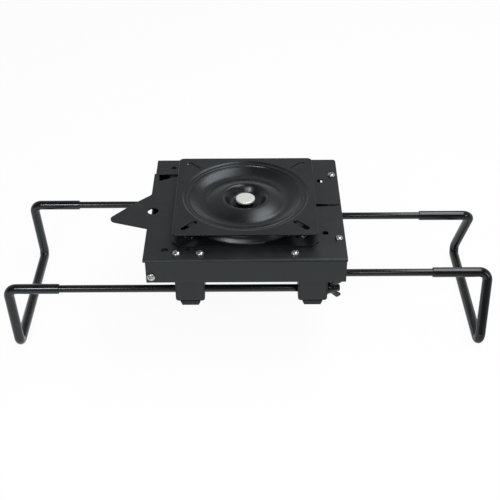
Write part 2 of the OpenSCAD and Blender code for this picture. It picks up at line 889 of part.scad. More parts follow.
module frame_sleeve(p, s, on_arm) {
    path = sleeve_path(p, p[1][0] - s * on_arm);
    bore = [path[0] - [s, 0, 0], path[1], path[2], path[3], path[4], path[5] - [s, 0, 0]];
    color("black")
        difference() {
            bent_rod(path, sleeve_d / 2, rod_bend_r);
            bent_rod(bore, sleeve_bore_r, rod_bend_r);
        }
}

module frame_washers(x, arm_y) {
    color("silver")
        for (y = [-arm_y, arm_y])
            translate([x, y, arm_z])
                rotate([0, 90, 0])
                    difference() {
                        cylinder(r = washer_r, h = washer_t);
                        translate([0, 0, -1])
                            cylinder(r = thread_r + slide_gap, h = washer_t + 2);
                    }
}

// wing nut on the z axis: hub on z = 0, wings rising away and outward
module wing_nut() {
    difference() {
        union() {
            rotate_extrude()
                polygon([[0, 0], [7.6, 0], [7.6, 2], [6.4, hub_h], [0, hub_h]]);
            for (a = [0, 180])
                rotate([0, 0, a])
                    rotate([90, 0, 0])
                        linear_extrude(height = 3, center = true)
                            polygon([[5, 1], [7.4, 0.8], [17.8, 10.4], [18.3, 12], [14, 16.4],
                                [12.2, 16.4], [5.6, 7.6], [5, 7.6]]);
        }
        translate([0, 0, -1])
            cylinder(r = thread_r + run_gap, h = hub_h + 2);
        for (a = [0, 180])
            rotate([0, 0, a])
                translate([0, 0, hub_h])
                    cylinder(r = 5.2, h = 12);
    }
}

// place a wing nut on an arm; away = 1 points it toward +X
module nut_on_arm(x, y, away, spin) {
    color("black")
        translate([x, y, arm_z])
            rotate([0, away * 90, 0])
                rotate([0, 0, spin])
                    wing_nut();
}

// wing nut on a left arm's end, side = -1 for the front arm and 1 for the rear one
module left_nut(side, spin) {
    nut_on_arm(left_nut_x, side * left_arm_y, 1, spin);
}

// wing nut on a right arm's end
module right_nut(side, spin) {
    nut_on_arm(right_nut_x, side * right_arm_y, -1, spin);
}

left_nut_x = right_face + washer_t + run_gap;
right_nut_x = left_face - washer_t - run_gap;

// all pieces are laid out about the swivel axis; this puts the frames' two ends
// equally far from the origin
module placed() {
    translate([(left_reach - right_reach) / 2, 0, 0])
        children();
}

placed() deck_plate();
placed() left_side_wall();
placed() right_side_wall();
placed() cross_bar(-1);  // front_cross_bar
placed() cross_bar(1);  // rear_cross_bar
placed() deck_screws();
placed() deck_screw_nuts();
placed() rail(left_rail_x);  // left_rail
placed() rail(right_rail_x);  // right_rail
placed() rail_end_caps();
placed() rail_bolts();
placed() rail_bolt_nuts();
placed() foot_strip(left_rail_x);  // left_foot_strip
placed() foot_strip(right_rail_x);  // right_foot_strip
placed() foot_screws();
placed() swivel_base_plate();
placed() base_plate_bolts();
placed() base_plate_nuts();
placed() bearing_balls();
placed() ball_cage();
placed() swivel_top_plate();
placed() pivot_bolt();
placed() pivot_top_washer();
placed() pivot_hub_washer();
placed() pivot_nut();
placed() frame_rod(left_path(), -1);  // left_frame_rod
placed() frame_sleeve(left_path(), -1, left_on_arm);  // left_frame_sleeve
placed() frame_washers(right_face, left_arm_y);  // left_frame_washers
placed() frame_rod(right_path(), 1);  // right_frame_rod
placed() frame_sleeve(right_path(), 1, right_on_arm);  // right_frame_sleeve
placed() frame_washers(left_face - washer_t, right_arm_y);  // right_frame_washers
placed() left_nut(-1, left_front_spin);  // left_frame_front_nut
placed() left_nut(1, left_rear_spin);  // left_frame_rear_nut
placed() right_nut(-1, right_front_spin);  // right_frame_front_nut
placed() right_nut(1, right_rear_spin);  // right_frame_rear_nut
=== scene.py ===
"""Looks for a swivel seat base: folded housing, rails, dished turntable and rod frames."""

import json
import logging
import math
from dataclasses import dataclass
from enum import Enum

import bmesh
import bpy
from mathutils import Matrix, Vector

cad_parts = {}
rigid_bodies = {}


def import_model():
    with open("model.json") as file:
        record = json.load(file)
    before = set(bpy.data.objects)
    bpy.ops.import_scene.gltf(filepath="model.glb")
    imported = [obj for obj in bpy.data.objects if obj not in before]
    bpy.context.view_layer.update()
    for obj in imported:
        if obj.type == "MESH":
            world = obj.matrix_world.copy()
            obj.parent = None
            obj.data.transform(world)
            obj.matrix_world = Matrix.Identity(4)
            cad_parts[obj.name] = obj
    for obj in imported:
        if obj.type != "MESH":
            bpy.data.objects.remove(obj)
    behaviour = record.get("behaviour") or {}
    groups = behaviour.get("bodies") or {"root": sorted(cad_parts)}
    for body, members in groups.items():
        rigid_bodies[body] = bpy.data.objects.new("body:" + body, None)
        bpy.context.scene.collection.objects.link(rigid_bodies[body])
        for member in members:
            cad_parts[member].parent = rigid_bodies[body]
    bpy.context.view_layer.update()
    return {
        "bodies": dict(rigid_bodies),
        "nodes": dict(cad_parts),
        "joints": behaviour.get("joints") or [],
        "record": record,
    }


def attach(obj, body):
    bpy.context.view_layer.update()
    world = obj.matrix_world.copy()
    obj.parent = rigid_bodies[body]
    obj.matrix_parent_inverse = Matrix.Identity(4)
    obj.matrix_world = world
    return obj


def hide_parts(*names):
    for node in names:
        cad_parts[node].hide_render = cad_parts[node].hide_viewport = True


LOG = logging.getLogger("seat_base")
MM = 0.001
# The swivel's axis lies a little left of the middle between the rails.
AXIS_X = -5.5 * MM
# Corners nearer than this are one: in a made piece, and in a copied CAD node.
MERGE = 2e-6
COPY_MERGE = 4e-6
Colour = tuple[float, float, float]
Point = tuple[float, float, float]
Section = list[tuple[float, float]]
Offsets = tuple[tuple[float, float], ...]


class Slot(Enum):
    """Finish slots, named as in the part's record."""

    HOUSING = "housing_paint"
    SWIVEL = "swivel_paint"
    ROD = "rod_paint"
    SLEEVE = "sleeve_vinyl"
    CAP = "cap_plastic"
    FOOT = "foot_rubber"
    BLACK_FASTENER = "black_fastener"
    ZINC = "bright_zinc"
    PIVOT = "pivot_zinc"
    WASHER = "washer_steel"
    BALL = "ball_steel"
    CAGE = "cage_brass"


class Side(Enum):
    """Side of the housing that a rod frame reaches out to."""

    LEFT = -1
    RIGHT = 1


# Bench helpers


def put_down() -> None:
    """Leave edit mode and deselect every object."""
    if bpy.context.object and bpy.context.object.mode != "OBJECT":
        bpy.ops.object.mode_set(mode="OBJECT")
    bpy.ops.object.select_all(action="DESELECT")


def take(piece: bpy.types.Object) -> bpy.types.Object:
    """Make one piece the active and only selected one.

    Args:
        piece: The piece to work on.

    Returns:
        The same piece.
    """
    put_down()
    bpy.context.view_layer.objects.active = piece
    piece.select_set(True)
    return piece


def edit(piece: bpy.types.Object, select: bool = True) -> None:
    """Open a piece in edit mode.

    Args:
        piece: The piece to open.
        select: Whether all of it starts selected.
    """
    take(piece)
    bpy.ops.object.mode_set(mode="EDIT")
    bpy.ops.mesh.select_mode(type="VERT")
    bpy.ops.mesh.select_all(action="SELECT" if select else "DESELECT")


def close(piece: bpy.types.Object) -> bpy.types.Object:
    """Go back to object mode and return the piece."""
    bpy.ops.object.mode_set(mode="OBJECT")
    return piece


def named(name: str) -> bpy.types.Object:
    """Name the object just added, and settle its place into its mesh.

    Args:
        name: The piece's name.

    Returns:
        The piece, with its object at the origin.
    """
    piece = bpy.context.object
    piece.name = name
    piece.data.name = name
    bpy.ops.object.transform_apply(location=True, rotation=True, scale=True)
    return piece


def settle(piece: bpy.types.Object, place: Matrix) -> bpy.types.Object:
    """Move a piece's mesh by a matrix while its object stays at the origin.

    Args:
        piece: The piece to move.
        place: Where its mesh goes.

    Returns:
        The same piece.
    """
    piece.data.transform(place)
    piece.data.update()
    return piece


def finish_modifier(piece: bpy.types.Object, kind: str, **values: object) -> None:
    """Add a modifier with these values and apply it.

    Args:
        piece: The piece that gets it.
        kind: Blender's name of the modifier's type.
        **values: Settings of the modifier.
    """
    take(piece)
    modifier = piece.modifiers.new(kind.lower(), kind)
    for key, value in values.items():
        setattr(modifier, key, value)
    bpy.ops.object.modifier_apply(modifier=modifier.name)


def smooth(piece: bpy.types.Object, angle_deg: float = 34.0) -> bpy.types.Object:
    """Shade a piece smooth up to an angle between faces.

    Args:
        piece: The piece to shade.
        angle_deg: Faces that meet at more than this keep a crisp edge.

    Returns:
        The same piece.
    """
    take(piece)
    bpy.ops.object.shade_smooth_by_angle(angle=math.radians(angle_deg))
    return piece


def face_out(piece: bpy.types.Object) -> bpy.types.Object:
    """Merge doubled corners and turn every face outwards.

    Args:
        piece: The piece to clean.

    Returns:
        The same piece.
    """
    edit(piece)
    bpy.ops.mesh.remove_doubles(threshold=MERGE)
    bpy.ops.mesh.normals_make_consistent(inside=False)
    return close(piece)


def bench_copy(frame: dict, node: str, name: str) -> bpy.types.Object:
    """Copy a CAD node's mesh into a new piece, merged and with its flat faces whole.

    Args:
        node: The CAD node to copy.
        name: The new piece's name.

    Returns:
        The new piece.
    """
    mesh = frame["nodes"][node].data.copy()
    mesh.name = name
    mesh.materials.clear()
    piece = bpy.data.objects.new(name, mesh)
    bpy.context.scene.collection.objects.link(piece)
    take(piece)
    if mesh.has_custom_normals:
        bpy.ops.mesh.customdata_custom_splitnormals_clear()
    edit(piece)
    bpy.ops.mesh.remove_doubles(threshold=COPY_MERGE)
    bpy.ops.mesh.dissolve_limited(angle_limit=math.radians(0.6))
    return close(piece)


def ease_edges(
    piece: bpy.types.Object, width: float, segments: int = 2, sharp_deg: float = 40.0
) -> bpy.types.Object:
    """Round a piece's crisp edges a little, as tumbling and paint leave them.

    Args:
        piece: The piece to ease.
        width: Width of the rounding in metres.
        segments: Number of faces across it.
        sharp_deg: Edges sharper than this are eased.

    Returns:
        The same piece.
    """
    finish_modifier(
        piece,
        "BEVEL",
        width=width,
        segments=segments,
        limit_method="ANGLE",
        angle_limit=math.radians(sharp_deg),
        use_clamp_overlap=False,
        harden_normals=False,
    )
    smooth(piece)
    finish_modifier(piece, "WEIGHTED_NORMAL", mode="FACE_AREA", keep_sharp=True)
    return piece


def revolve(name: str, section: Section, steps: int = 192) -> bpy.types.Object:
    """Spin a closed section about the vertical axis through the origin.

    Args:
        name: The piece's name.
        section: Closed outline as (radius, height) pairs in metres.
        steps: Number of faces round the axis.

    Returns:
        The spun piece.
    """
    put_down()
    bpy.ops.mesh.primitive_circle_add(
        vertices=len(section), radius=0.01, fill_type="NOTHING"
    )
    piece = named(name)
    for vertex, (radius, height) in zip(piece.data.vertices, section):
        vertex.co = (radius, 0.0, height)
    edit(piece)
    bpy.ops.mesh.spin(
        steps=steps, angle=2 * math.pi, center=(0, 0, 0), axis=(0, 0, 1)
    )
    close(piece)
    return face_out(piece)


def set_out(radius: float, height: float, offsets_mm: Offsets) -> Section:
    """Set a section's corners out from one point.

    Args:
        radius: The point's radius in metres.
        height: The point's height in metres.
        offsets_mm: Corners as (outward, upward) offsets in millimetres.

    Returns:
        The corners as (radius, height) pairs in metres.
    """
    return [(radius + out * MM, height + up * MM) for out, up in offsets_mm]


def flowing(points: Section, parts: int = 4) -> Section:
    """Draw a smooth line through the corners of a pressed section.

    Args:
        points: Corners as (radius, height) pairs.
        parts: Number of steps between two corners.

    Returns:
        The finer line, with the same ends.
    """
    line: Section = []
    last = len(points) - 1
    for i in range(last):
        p0, p1 = points[max(i - 1, 0)], points[i]
        p2, p3 = points[i + 1], points[min(i + 2, last)]
        for k in range(parts):
            t = k / parts
            line.append(tuple(_catmull(a, b, c, d, t) for a, b, c, d in zip(p0, p1, p2, p3)))
    line.append(points[last])
    return line


def _catmull(a: float, b: float, c: float, d: float, t: float) -> float:
    """One coordinate of a smooth line between b and c at share t."""
    return b + 0.5 * t * (
        c - a + t * (2 * a - 5 * b + 4 * c - d + t * (3 * (b - c) + d - a))
    )


# Node groups


class Wiring:
    """A material's or a group's tree with short calls to add and join nodes."""

    def __init__(self, tree: bpy.types.NodeTree) -> None:
        """Keep the tree.

        Args:
            tree: The tree to build in.
        """
        self.tree = tree
        self.column = 0

    def add(self, kind: str, **values: object) -> bpy.types.Node:
        """Add a node and set its properties and sockets.

        Args:
            kind: The node's type name.
            **values: Properties, or input sockets where the key starts with in_.

        Returns:
            The new node.
        """
        node = self.tree.nodes.new(kind)
        self.column += 1
        node.location = (self.column * 190 - 1600, -(self.column % 5) * 160)
        for key, value in values.items():
            if key.startswith("in_"):
                socket = key[3:]
                index = int(socket) if socket.isdigit() else socket.replace("_", " ")
                node.inputs[index].default_value = value
            else:
                setattr(node, key, value)
        return node

    def join(self, out: bpy.types.NodeSocket, into: bpy.types.NodeSocket) -> None:
        """Link an output to an input."""
        self.tree.links.new(out, into)

    def maths(
        self,
        operation: str,
        a: bpy.types.NodeSocket | float,
        b: bpy.types.NodeSocket | float = 0.0,
        clamp: bool = False,
    ) -> bpy.types.NodeSocket:
        """Add a Math node.

        Args:
            operation: Its operation.
            a: First value or socket.
            b: Second value or socket.
            clamp: Whether the result is kept between 0 and 1.

        Returns:
            Its output.
        """
        node = self.add("ShaderNodeMath", operation=operation, use_clamp=clamp)
        for index, value in enumerate((a, b)):
            if isinstance(value, (int, float)):
                node.inputs[index].default_value = value
            else:
                self.join(value, node.inputs[index])
        return node.outputs[0]

    def remap(
        self,
        value: bpy.types.NodeSocket,
        low: float,
        high: float,
        to_low: float = 0.0,
        to_high: float = 1.0,
    ) -> bpy.types.NodeSocket:
        """Map a range of values onto another, clamped, with soft ends.

        Args:
            value: The socket to map.
            low: Value that gives to_low.
            high: Value that gives to_high.
            to_low: Result at the low end.
            to_high: Result at the high end.

        Returns:
            The mapped socket.
        """
        node = self.add("ShaderNodeMapRange", interpolation_type="SMOOTHSTEP", clamp=True)
        self.join(value, node.inputs["Value"])
        for key, number in zip(
            ("From Min", "From Max", "To Min", "To Max"), (low, high, to_low, to_high)
        ):
            node.inputs[key].default_value = number
        return node.outputs["Result"]

    def mix(
        self,
        factor: bpy.types.NodeSocket,
        a: bpy.types.NodeSocket | Colour,
        b: bpy.types.NodeSocket | Colour,
    ) -> bpy.types.NodeSocket:
        """Mix two colours.

        Args:
            factor: Share of the second colour.
            a: First colour.
            b: Second colour.

        Returns:
            The mixed colour's socket.
        """
        node = self.add("ShaderNodeMix", data_type="RGBA")
        self.join(factor, node.inputs["Factor"])
        for key, value in (("A", a), ("B", b)):
            socket = [s for s in node.inputs if s.name == key and s.type == "RGBA"][0]
            if isinstance(value, tuple):
                socket.default_value = (*value, 1.0)
            else:
                self.join(value, socket)
        return [s for s in node.outputs if s.type == "RGBA"][0]

    def noise(
        self, vector: bpy.types.NodeSocket, scale: float, detail: float = 3.0
    ) -> bpy.types.NodeSocket:
        """Add a noise texture.

        Args:
            vector: Where it is read.
            scale: Waves per metre.
            detail: Number of finer layers.

        Returns:
            Its Fac output.
        """
        node = self.add("ShaderNodeTexNoise", in_Scale=scale, in_Detail=detail)
        self.join(vector, node.inputs["Vector"])
        return node.outputs["Fac"]


def new_group(
    name: str, floats: dict[str, float], outs: tuple[str, ...]
) -> tuple[bpy.types.NodeTree, Wiring, bpy.types.Node, bpy.types.Node]:
    """Start a shader node group with a Vector input.

    Args:
        name: The group's name.
        floats: Its number inputs and their usual values.
        outs: Its number outputs.

    Returns:
        The tree, its wiring, and its input and output nodes.
    """
    tree = bpy.data.node_groups.new(name, "ShaderNodeTree")
    tree.interface.new_socket("Vector", in_out="INPUT", socket_type="NodeSocketVector")
    for key, value in floats.items():
        socket = tree.interface.new_socket(
            key, in_out="INPUT", socket_type="NodeSocketFloat"
        )
        socket.default_value = value
    for key in outs:
        tree.interface.new_socket(key, in_out="OUTPUT", socket_type="NodeSocketFloat")
    wiring = Wiring(tree)
    return tree, wiring, wiring.add("NodeGroupInput"), wiring.add("NodeGroupOutput")


class Effects:
    """The surface effects that several finishes share, each built once."""

    def __init__(self) -> None:
        """Build every group."""
        self.orange_peel = self._orange_peel()
        self.tone_drift = self._tone_drift()
        self.fine_rubs = self._fine_rubs()
        self.settled_dust = self._settled_dust()

    @staticmethod
    def _orange_peel() -> bpy.types.NodeTree:
        """Low ripple of sprayed paint with a finer powder grain on it.

        Returns:
            The group, with a Height output.
        """
        tree, w, start, end = new_group(
            "orange_peel", {"Ripple": 420.0, "Powder": 2400.0, "Share": 0.35}, ("Height",)
        )
        ripple = w.add("ShaderNodeTexNoise", in_Detail=1.5)
        powder = w.add("ShaderNodeTexNoise", in_Detail=2.0)
        for node, key in ((ripple, "Ripple"), (powder, "Powder")):
            w.join(start.outputs["Vector"], node.inputs["Vector"])
            w.join(start.outputs[key], node.inputs["Scale"])
        grain = w.maths("MULTIPLY", powder.outputs["Fac"], start.outputs["Share"])
        w.join(w.maths("ADD", ripple.outputs["Fac"], grain), end.inputs["Height"])
        return tree

    @staticmethod
    def _tone_drift() -> bpy.types.NodeTree:
        """Slow change of tone over a sheet.

        Returns:
            The group, with a Mask output.
        """
        tree, w, start, end = new_group("tone_drift", {"Scale": 14.0}, ("Mask",))
        broad = w.add("ShaderNodeTexNoise", in_Detail=4.0, in_Roughness=0.55)
        w.join(start.outputs["Vector"], broad.inputs["Vector"])
        w.join(start.outputs["Scale"], broad.inputs["Scale"])
        w.join(w.remap(broad.outputs["Fac"], 0.32, 0.68), end.inputs["Mask"])
        return tree

    @staticmethod
    def _fine_rubs() -> bpy.types.NodeTree:
        """Short faint rubs from handling, in patches.

        Returns:
            The group, with a Mask output.
        """
        tree, w, start, end = new_group(
            "fine_rubs", {"Length": 38.0, "Across": 900.0, "Patches": 22.0}, ("Mask",)
        )
        masks = []
        for key, turn in (("first", 0.5), ("second", -0.9)):
            lay = w.add("ShaderNodeMapping", label=key, in_Rotation=(0.2, 0.1, turn))
            w.join(start.outputs["Vector"], lay.inputs["Vector"])
            stretch = w.add("ShaderNodeCombineXYZ")
            w.join(start.outputs["Length"], stretch.inputs["X"])
            w.join(start.outputs["Across"], stretch.inputs["Y"])
            w.join(start.outputs["Across"], stretch.inputs["Z"])
            scaled = w.add("ShaderNodeVectorMath", operation="MULTIPLY")
            w.join(lay.outputs["Vector"], scaled.inputs[0])
            w.join(stretch.outputs["Vector"], scaled.inputs[1])
            masks.append(w.remap(w.noise(scaled.outputs["Vector"], 1.0, 1.0), 0.62, 0.72))
        patch = w.add("ShaderNodeTexNoise", in_Detail=2.0)
        w.join(start.outputs["Vector"], patch.inputs["Vector"])
        w.join(start.outputs["Patches"], patch.inputs["Scale"])
        both = w.maths("MAXIMUM", masks[0], masks[1])
        where = w.remap(patch.outputs["Fac"], 0.5, 0.68)
        w.join(w.maths("MULTIPLY", both, where), end.inputs["Mask"])
        return tree

    @staticmethod
    def _settled_dust() -> bpy.types.NodeTree:
        """Thin dust on faces that look up.

        Returns:
            The group, with a Mask output.
        """
        tree, w, start, end = new_group("settled_dust", {"Scale": 60.0}, ("Mask",))
        surface = w.add("ShaderNodeNewGeometry")
        parts = w.add("ShaderNodeSeparateXYZ")
        w.join(surface.outputs["Normal"], parts.inputs["Vector"])
        cloud = w.add("ShaderNodeTexNoise", in_Detail=5.0, in_Roughness=0.62)
        w.join(start.outputs["Vector"], cloud.inputs["Vector"])
        w.join(start.outputs["Scale"], cloud.inputs["Scale"])
        up = w.remap(parts.outputs["Z"], 0.35, 0.95)
        spots = w.remap(cloud.outputs["Fac"], 0.38, 0.7)
        w.join(w.maths("MULTIPLY", up, spots), end.inputs["Mask"])
        return tree


# Finishes

# Tones of handling rubs and of dust, and the cool tint of a black coat's gloss.
RUB_TONE: Colour = (0.16, 0.165, 0.17)
DUST_TONE: Colour = (0.3, 0.29, 0.27)
COOL_GLOSS: Colour = (0.93, 1.0, 1.06)


@dataclass(frozen=True)
class PaintFinish:
    """Sprayed or dipped black coating over steel.

    Attributes:
        colour: Base colour of the coating.
        pale: Tone that it drifts toward.
        rough: Lowest and highest roughness.
        peel_mm: Height of the paint's ripple in millimetres.
        ripple: Waves of the ripple per metre.
        dust: Share of dust on faces that look up.
        rubs: Share of pale rubs from handling.
        level: Specular level.
        tint: Tint of the gloss.
    """

    colour: Colour
    pale: Colour
    rough: tuple[float, float]
    peel_mm: float = 0.02
    ripple: float = 420.0
    dust: float = 0.05
    rubs: float = 0.1
    level: float = 0.5
    tint: Colour = COOL_GLOSS

    def dress(self, name: str, effects: Effects) -> bpy.types.Material:
        """Build the material.

        Args:
            name: The material's name.
            effects: The shared surface effects.

        Returns:
            The material.
        """
        material, w, shader, place = start_material(name)
        drift = place_group(w, effects.tone_drift, place)
        rubs = place_group(w, effects.fine_rubs, place)
        dust = place_group(w, effects.settled_dust, place)
        peel = place_group(w, effects.orange_peel, place, Ripple=self.ripple)
        tone = w.mix(drift.outputs["Mask"], self.colour, self.pale)
        rubbed = w.maths("MULTIPLY", rubs.outputs["Mask"], self.rubs)
        dusty = w.maths("MULTIPLY", dust.outputs["Mask"], self.dust)
        tone = w.mix(rubbed, tone, RUB_TONE)
        tone = w.mix(dusty, tone, DUST_TONE)
        w.join(tone, shader.inputs["Base Color"])
        rough = w.remap(drift.outputs["Mask"], 0.0, 1.0, *self.rough)
        rough = w.maths("ADD", rough, w.maths("MULTIPLY", dusty, 1.2), clamp=True)
        rough = w.maths("ADD", rough, w.maths("MULTIPLY", rubbed, 0.8), clamp=True)
        w.join(rough, shader.inputs["Roughness"])
        add_bump(w, shader, peel.outputs["Height"], self.peel_mm * MM, 0.6)
        shader.inputs["Specular IOR Level"].default_value = self.level
        shader.inputs["Specular Tint"].default_value = (*self.tint, 1.0)
        return material


@dataclass(frozen=True)
class MetalFinish:
    """Bare or plated metal.

    Attributes:
        colour: Colour of the metal.
        dull: Colour of its duller patches.
        rough: Lowest and highest roughness.
        brush_mm: Depth of fine brushing in millimetres.
        lines: Waves of the brushing per metre.
        bare: Share of bare metal, below 1 where a dull film lies over it.
    """

    colour: Colour
    dull: Colour
    rough: tuple[float, float]
    brush_mm: float = 0.004
    lines: float = 1500.0
    bare: float = 1.0

    def dress(self, name: str, effects: Effects) -> bpy.types.Material:
        """Build the material.

        Args:
            name: The material's name.
            effects: The shared surface effects.

        Returns:
            The material.
        """
        material, w, shader, place = start_material(name)
        drift = place_group(w, effects.tone_drift, place, Scale=160.0)
        rubs = place_group(w, effects.fine_rubs, place, Length=160.0, Across=2200.0)
        grain = place_group(w, effects.orange_peel, place, Ripple=self.lines, Powder=5200.0)
        tone = w.mix(drift.outputs["Mask"], self.colour, self.dull)
        scratched = tuple(share * 0.55 for share in self.dull)
        tone = w.mix(w.maths("MULTIPLY", rubs.outputs["Mask"], 0.5), tone, scratched)
        w.join(tone, shader.inputs["Base Color"])
        w.join(
            w.remap(drift.outputs["Mask"], 0.0, 1.0, *self.rough),
            shader.inputs["Roughness"],
        )
        add_bump(w, shader, grain.outputs["Height"], self.brush_mm * MM, 0.5)
        shader.inputs["Metallic"].default_value = self.bare
        return material


@dataclass(frozen=True)
class MouldedFinish:
    """Moulded plastic, vinyl or rubber.

    Attributes:
        colour: Base colour.
        pale: Tone that it drifts toward.
        rough: Lowest and highest roughness.
        grain_mm: Height of the surface grain in millimetres.
        grain: Waves of the grain per metre.
        wave_mm: Height of slow waves along a soft sleeve in millimetres.
        dust: Share of dust on faces that look up.
        level: Specular level.
        tint: Tint of the gloss.
    """

    colour: Colour
    pale: Colour
    rough: tuple[float, float]
    grain_mm: float = 0.02
    grain: float = 1100.0
    wave_mm: float = 0.0
    dust: float = 0.03
    level: float = 0.5
    tint: Colour = COOL_GLOSS

    def dress(self, name: str, effects: Effects) -> bpy.types.Material:
        """Build the material.

        Args:
            name: The material's name.
            effects: The shared surface effects.

        Returns:
            The material.
        """
        material, w, shader, place = start_material(name)
        drift = place_group(w, effects.tone_drift, place, Scale=30.0)
        dust = place_group(w, effects.settled_dust, place, Scale=110.0)
        grain = place_group(w, effects.orange_peel, place, Ripple=self.grain)
        tone = w.mix(drift.outputs["Mask"], self.colour, self.pale)
        dusty = w.maths("MULTIPLY", dust.outputs["Mask"], self.dust)
        tone = w.mix(dusty, tone, DUST_TONE)
        w.join(tone, shader.inputs["Base Color"])
        w.join(
            w.remap(drift.outputs["Mask"], 0.0, 1.0, *self.rough),
            shader.inputs["Roughness"],
        )
        height = w.maths("MULTIPLY", grain.outputs["Height"], self.grain_mm)
        if self.wave_mm:
            slow = w.noise(place, 55.0, 1.0)
            height = w.maths("ADD", height, w.maths("MULTIPLY", slow, self.wave_mm))
        add_bump(w, shader, height, MM, 0.7)
        shader.inputs["Specular IOR Level"].default_value = self.level
        shader.inputs["Specular Tint"].default_value = (*self.tint, 1.0)
        return material


def start_material(
    name: str,
) -> tuple[bpy.types.Material, Wiring, bpy.types.Node, bpy.types.NodeSocket]:
    """Start a material with a Principled shader and Object coordinates.

    Args:
        name: The material's name.

    Returns:
        The material, its wiring, its shader node and the coordinates' socket.
    """
    material = bpy.data.materials.new(name)
    material.use_nodes = True
    material.node_tree.nodes.clear()
    w = Wiring(material.node_tree)
    shader = w.add("ShaderNodeBsdfPrincipled")
    out = w.add("ShaderNodeOutputMaterial")
    w.join(shader.outputs["BSDF"], out.inputs["Surface"])
    place = w.add("ShaderNodeTexCoord").outputs["Object"]
    return material, w, shader, place


def place_group(
    w: Wiring, tree: bpy.types.NodeTree, place: bpy.types.NodeSocket, **values: float
) -> bpy.types.Node:
    """Place a shared group in a material.

    Args:
        w: The material's wiring.
        tree: The group.
        place: Coordinates that the group reads.
        **values: The group's own numbers for this material.

    Returns:
        The group's node.
    """
    node = w.add("ShaderNodeGroup", node_tree=tree)
    w.join(place, node.inputs["Vector"])
    for key, value in values.items():
        node.inputs[key].default_value = value
    return node


def add_bump(
    w: Wiring,
    shader: bpy.types.Node,
    height: bpy.types.NodeSocket,
    distance: float,
    strength: float,
) -> None:
    """Feed a height to the shader's normal.

    Args:
        w: The material's wiring.
        shader: The Principled node.
        height: Height socket.
        distance: Height of one unit in metres.
        strength: Share of the effect.
    """
    bump = w.add("ShaderNodeBump", in_Distance=distance, in_Strength=strength)
    w.join(height, bump.inputs["Height"])
    w.join(bump.outputs["Normal"], shader.inputs["Normal"])


FINISHES: dict[Slot, PaintFinish | MetalFinish | MouldedFinish] = {
    Slot.HOUSING: PaintFinish(
        (0.0042, 0.0052, 0.006), (0.006, 0.0072, 0.008), (0.34, 0.4),
        dust=0.008, rubs=0.02, level=0.46,
    ),
    Slot.SWIVEL: PaintFinish(
        (0.0038, 0.0043, 0.0047), (0.0052, 0.0058, 0.0063), (0.26, 0.32),
        peel_mm=0.012, dust=0.006, rubs=0.015, level=0.46,
    ),
    Slot.ROD: PaintFinish(
        (0.003, 0.0034, 0.0037), (0.0045, 0.005, 0.0054), (0.2, 0.26),
        peel_mm=0.004, dust=0.008, rubs=0.02,
    ),
    Slot.SLEEVE: MouldedFinish(
        (0.003, 0.0034, 0.0037), (0.0045, 0.005, 0.0054), (0.12, 0.17),
        grain_mm=0.004, wave_mm=0.1,
    ),
    Slot.CAP: MouldedFinish(
        (0.006, 0.0074, 0.0084), (0.0085, 0.01, 0.0112), (0.42, 0.5), level=0.46,
    ),
    Slot.FOOT: MouldedFinish(
        (0.006, 0.007, 0.0078), (0.0085, 0.0096, 0.0105), (0.5, 0.65),
        grain_mm=0.04, level=0.46,
    ),
    Slot.BLACK_FASTENER: PaintFinish(
        (0.004, 0.0044, 0.0048), (0.006, 0.0065, 0.007), (0.15, 0.21),
        peel_mm=0.006, ripple=700.0, dust=0.008, rubs=0.03, level=0.4,
    ),
    Slot.ZINC: MetalFinish((0.56, 0.57, 0.58), (0.38, 0.39, 0.4), (0.2, 0.34)),
    Slot.PIVOT: MetalFinish(
        (0.88, 0.9, 0.85), (0.74, 0.76, 0.71), (0.46, 0.58), brush_mm=0.008, bare=0.82
    ),
    Slot.WASHER: MetalFinish((0.05, 0.052, 0.055), (0.03, 0.032, 0.034), (0.3, 0.42)),
    Slot.BALL: MetalFinish(
        (0.72, 0.73, 0.74), (0.66, 0.67, 0.68), (0.06, 0.1), brush_mm=0.0
    ),
    Slot.CAGE: MetalFinish((0.6, 0.42, 0.18), (0.45, 0.31, 0.13), (0.3, 0.42)),
}
# Fasteners inside the housing, painted black whatever slot they are in: this is painted shade,
# since shade falls where they sit.
FASTENERS_PAINTED_SHADE = ("base_plate_bolts", "base_plate_nuts", "rail_bolts", "rail_bolt_nuts")


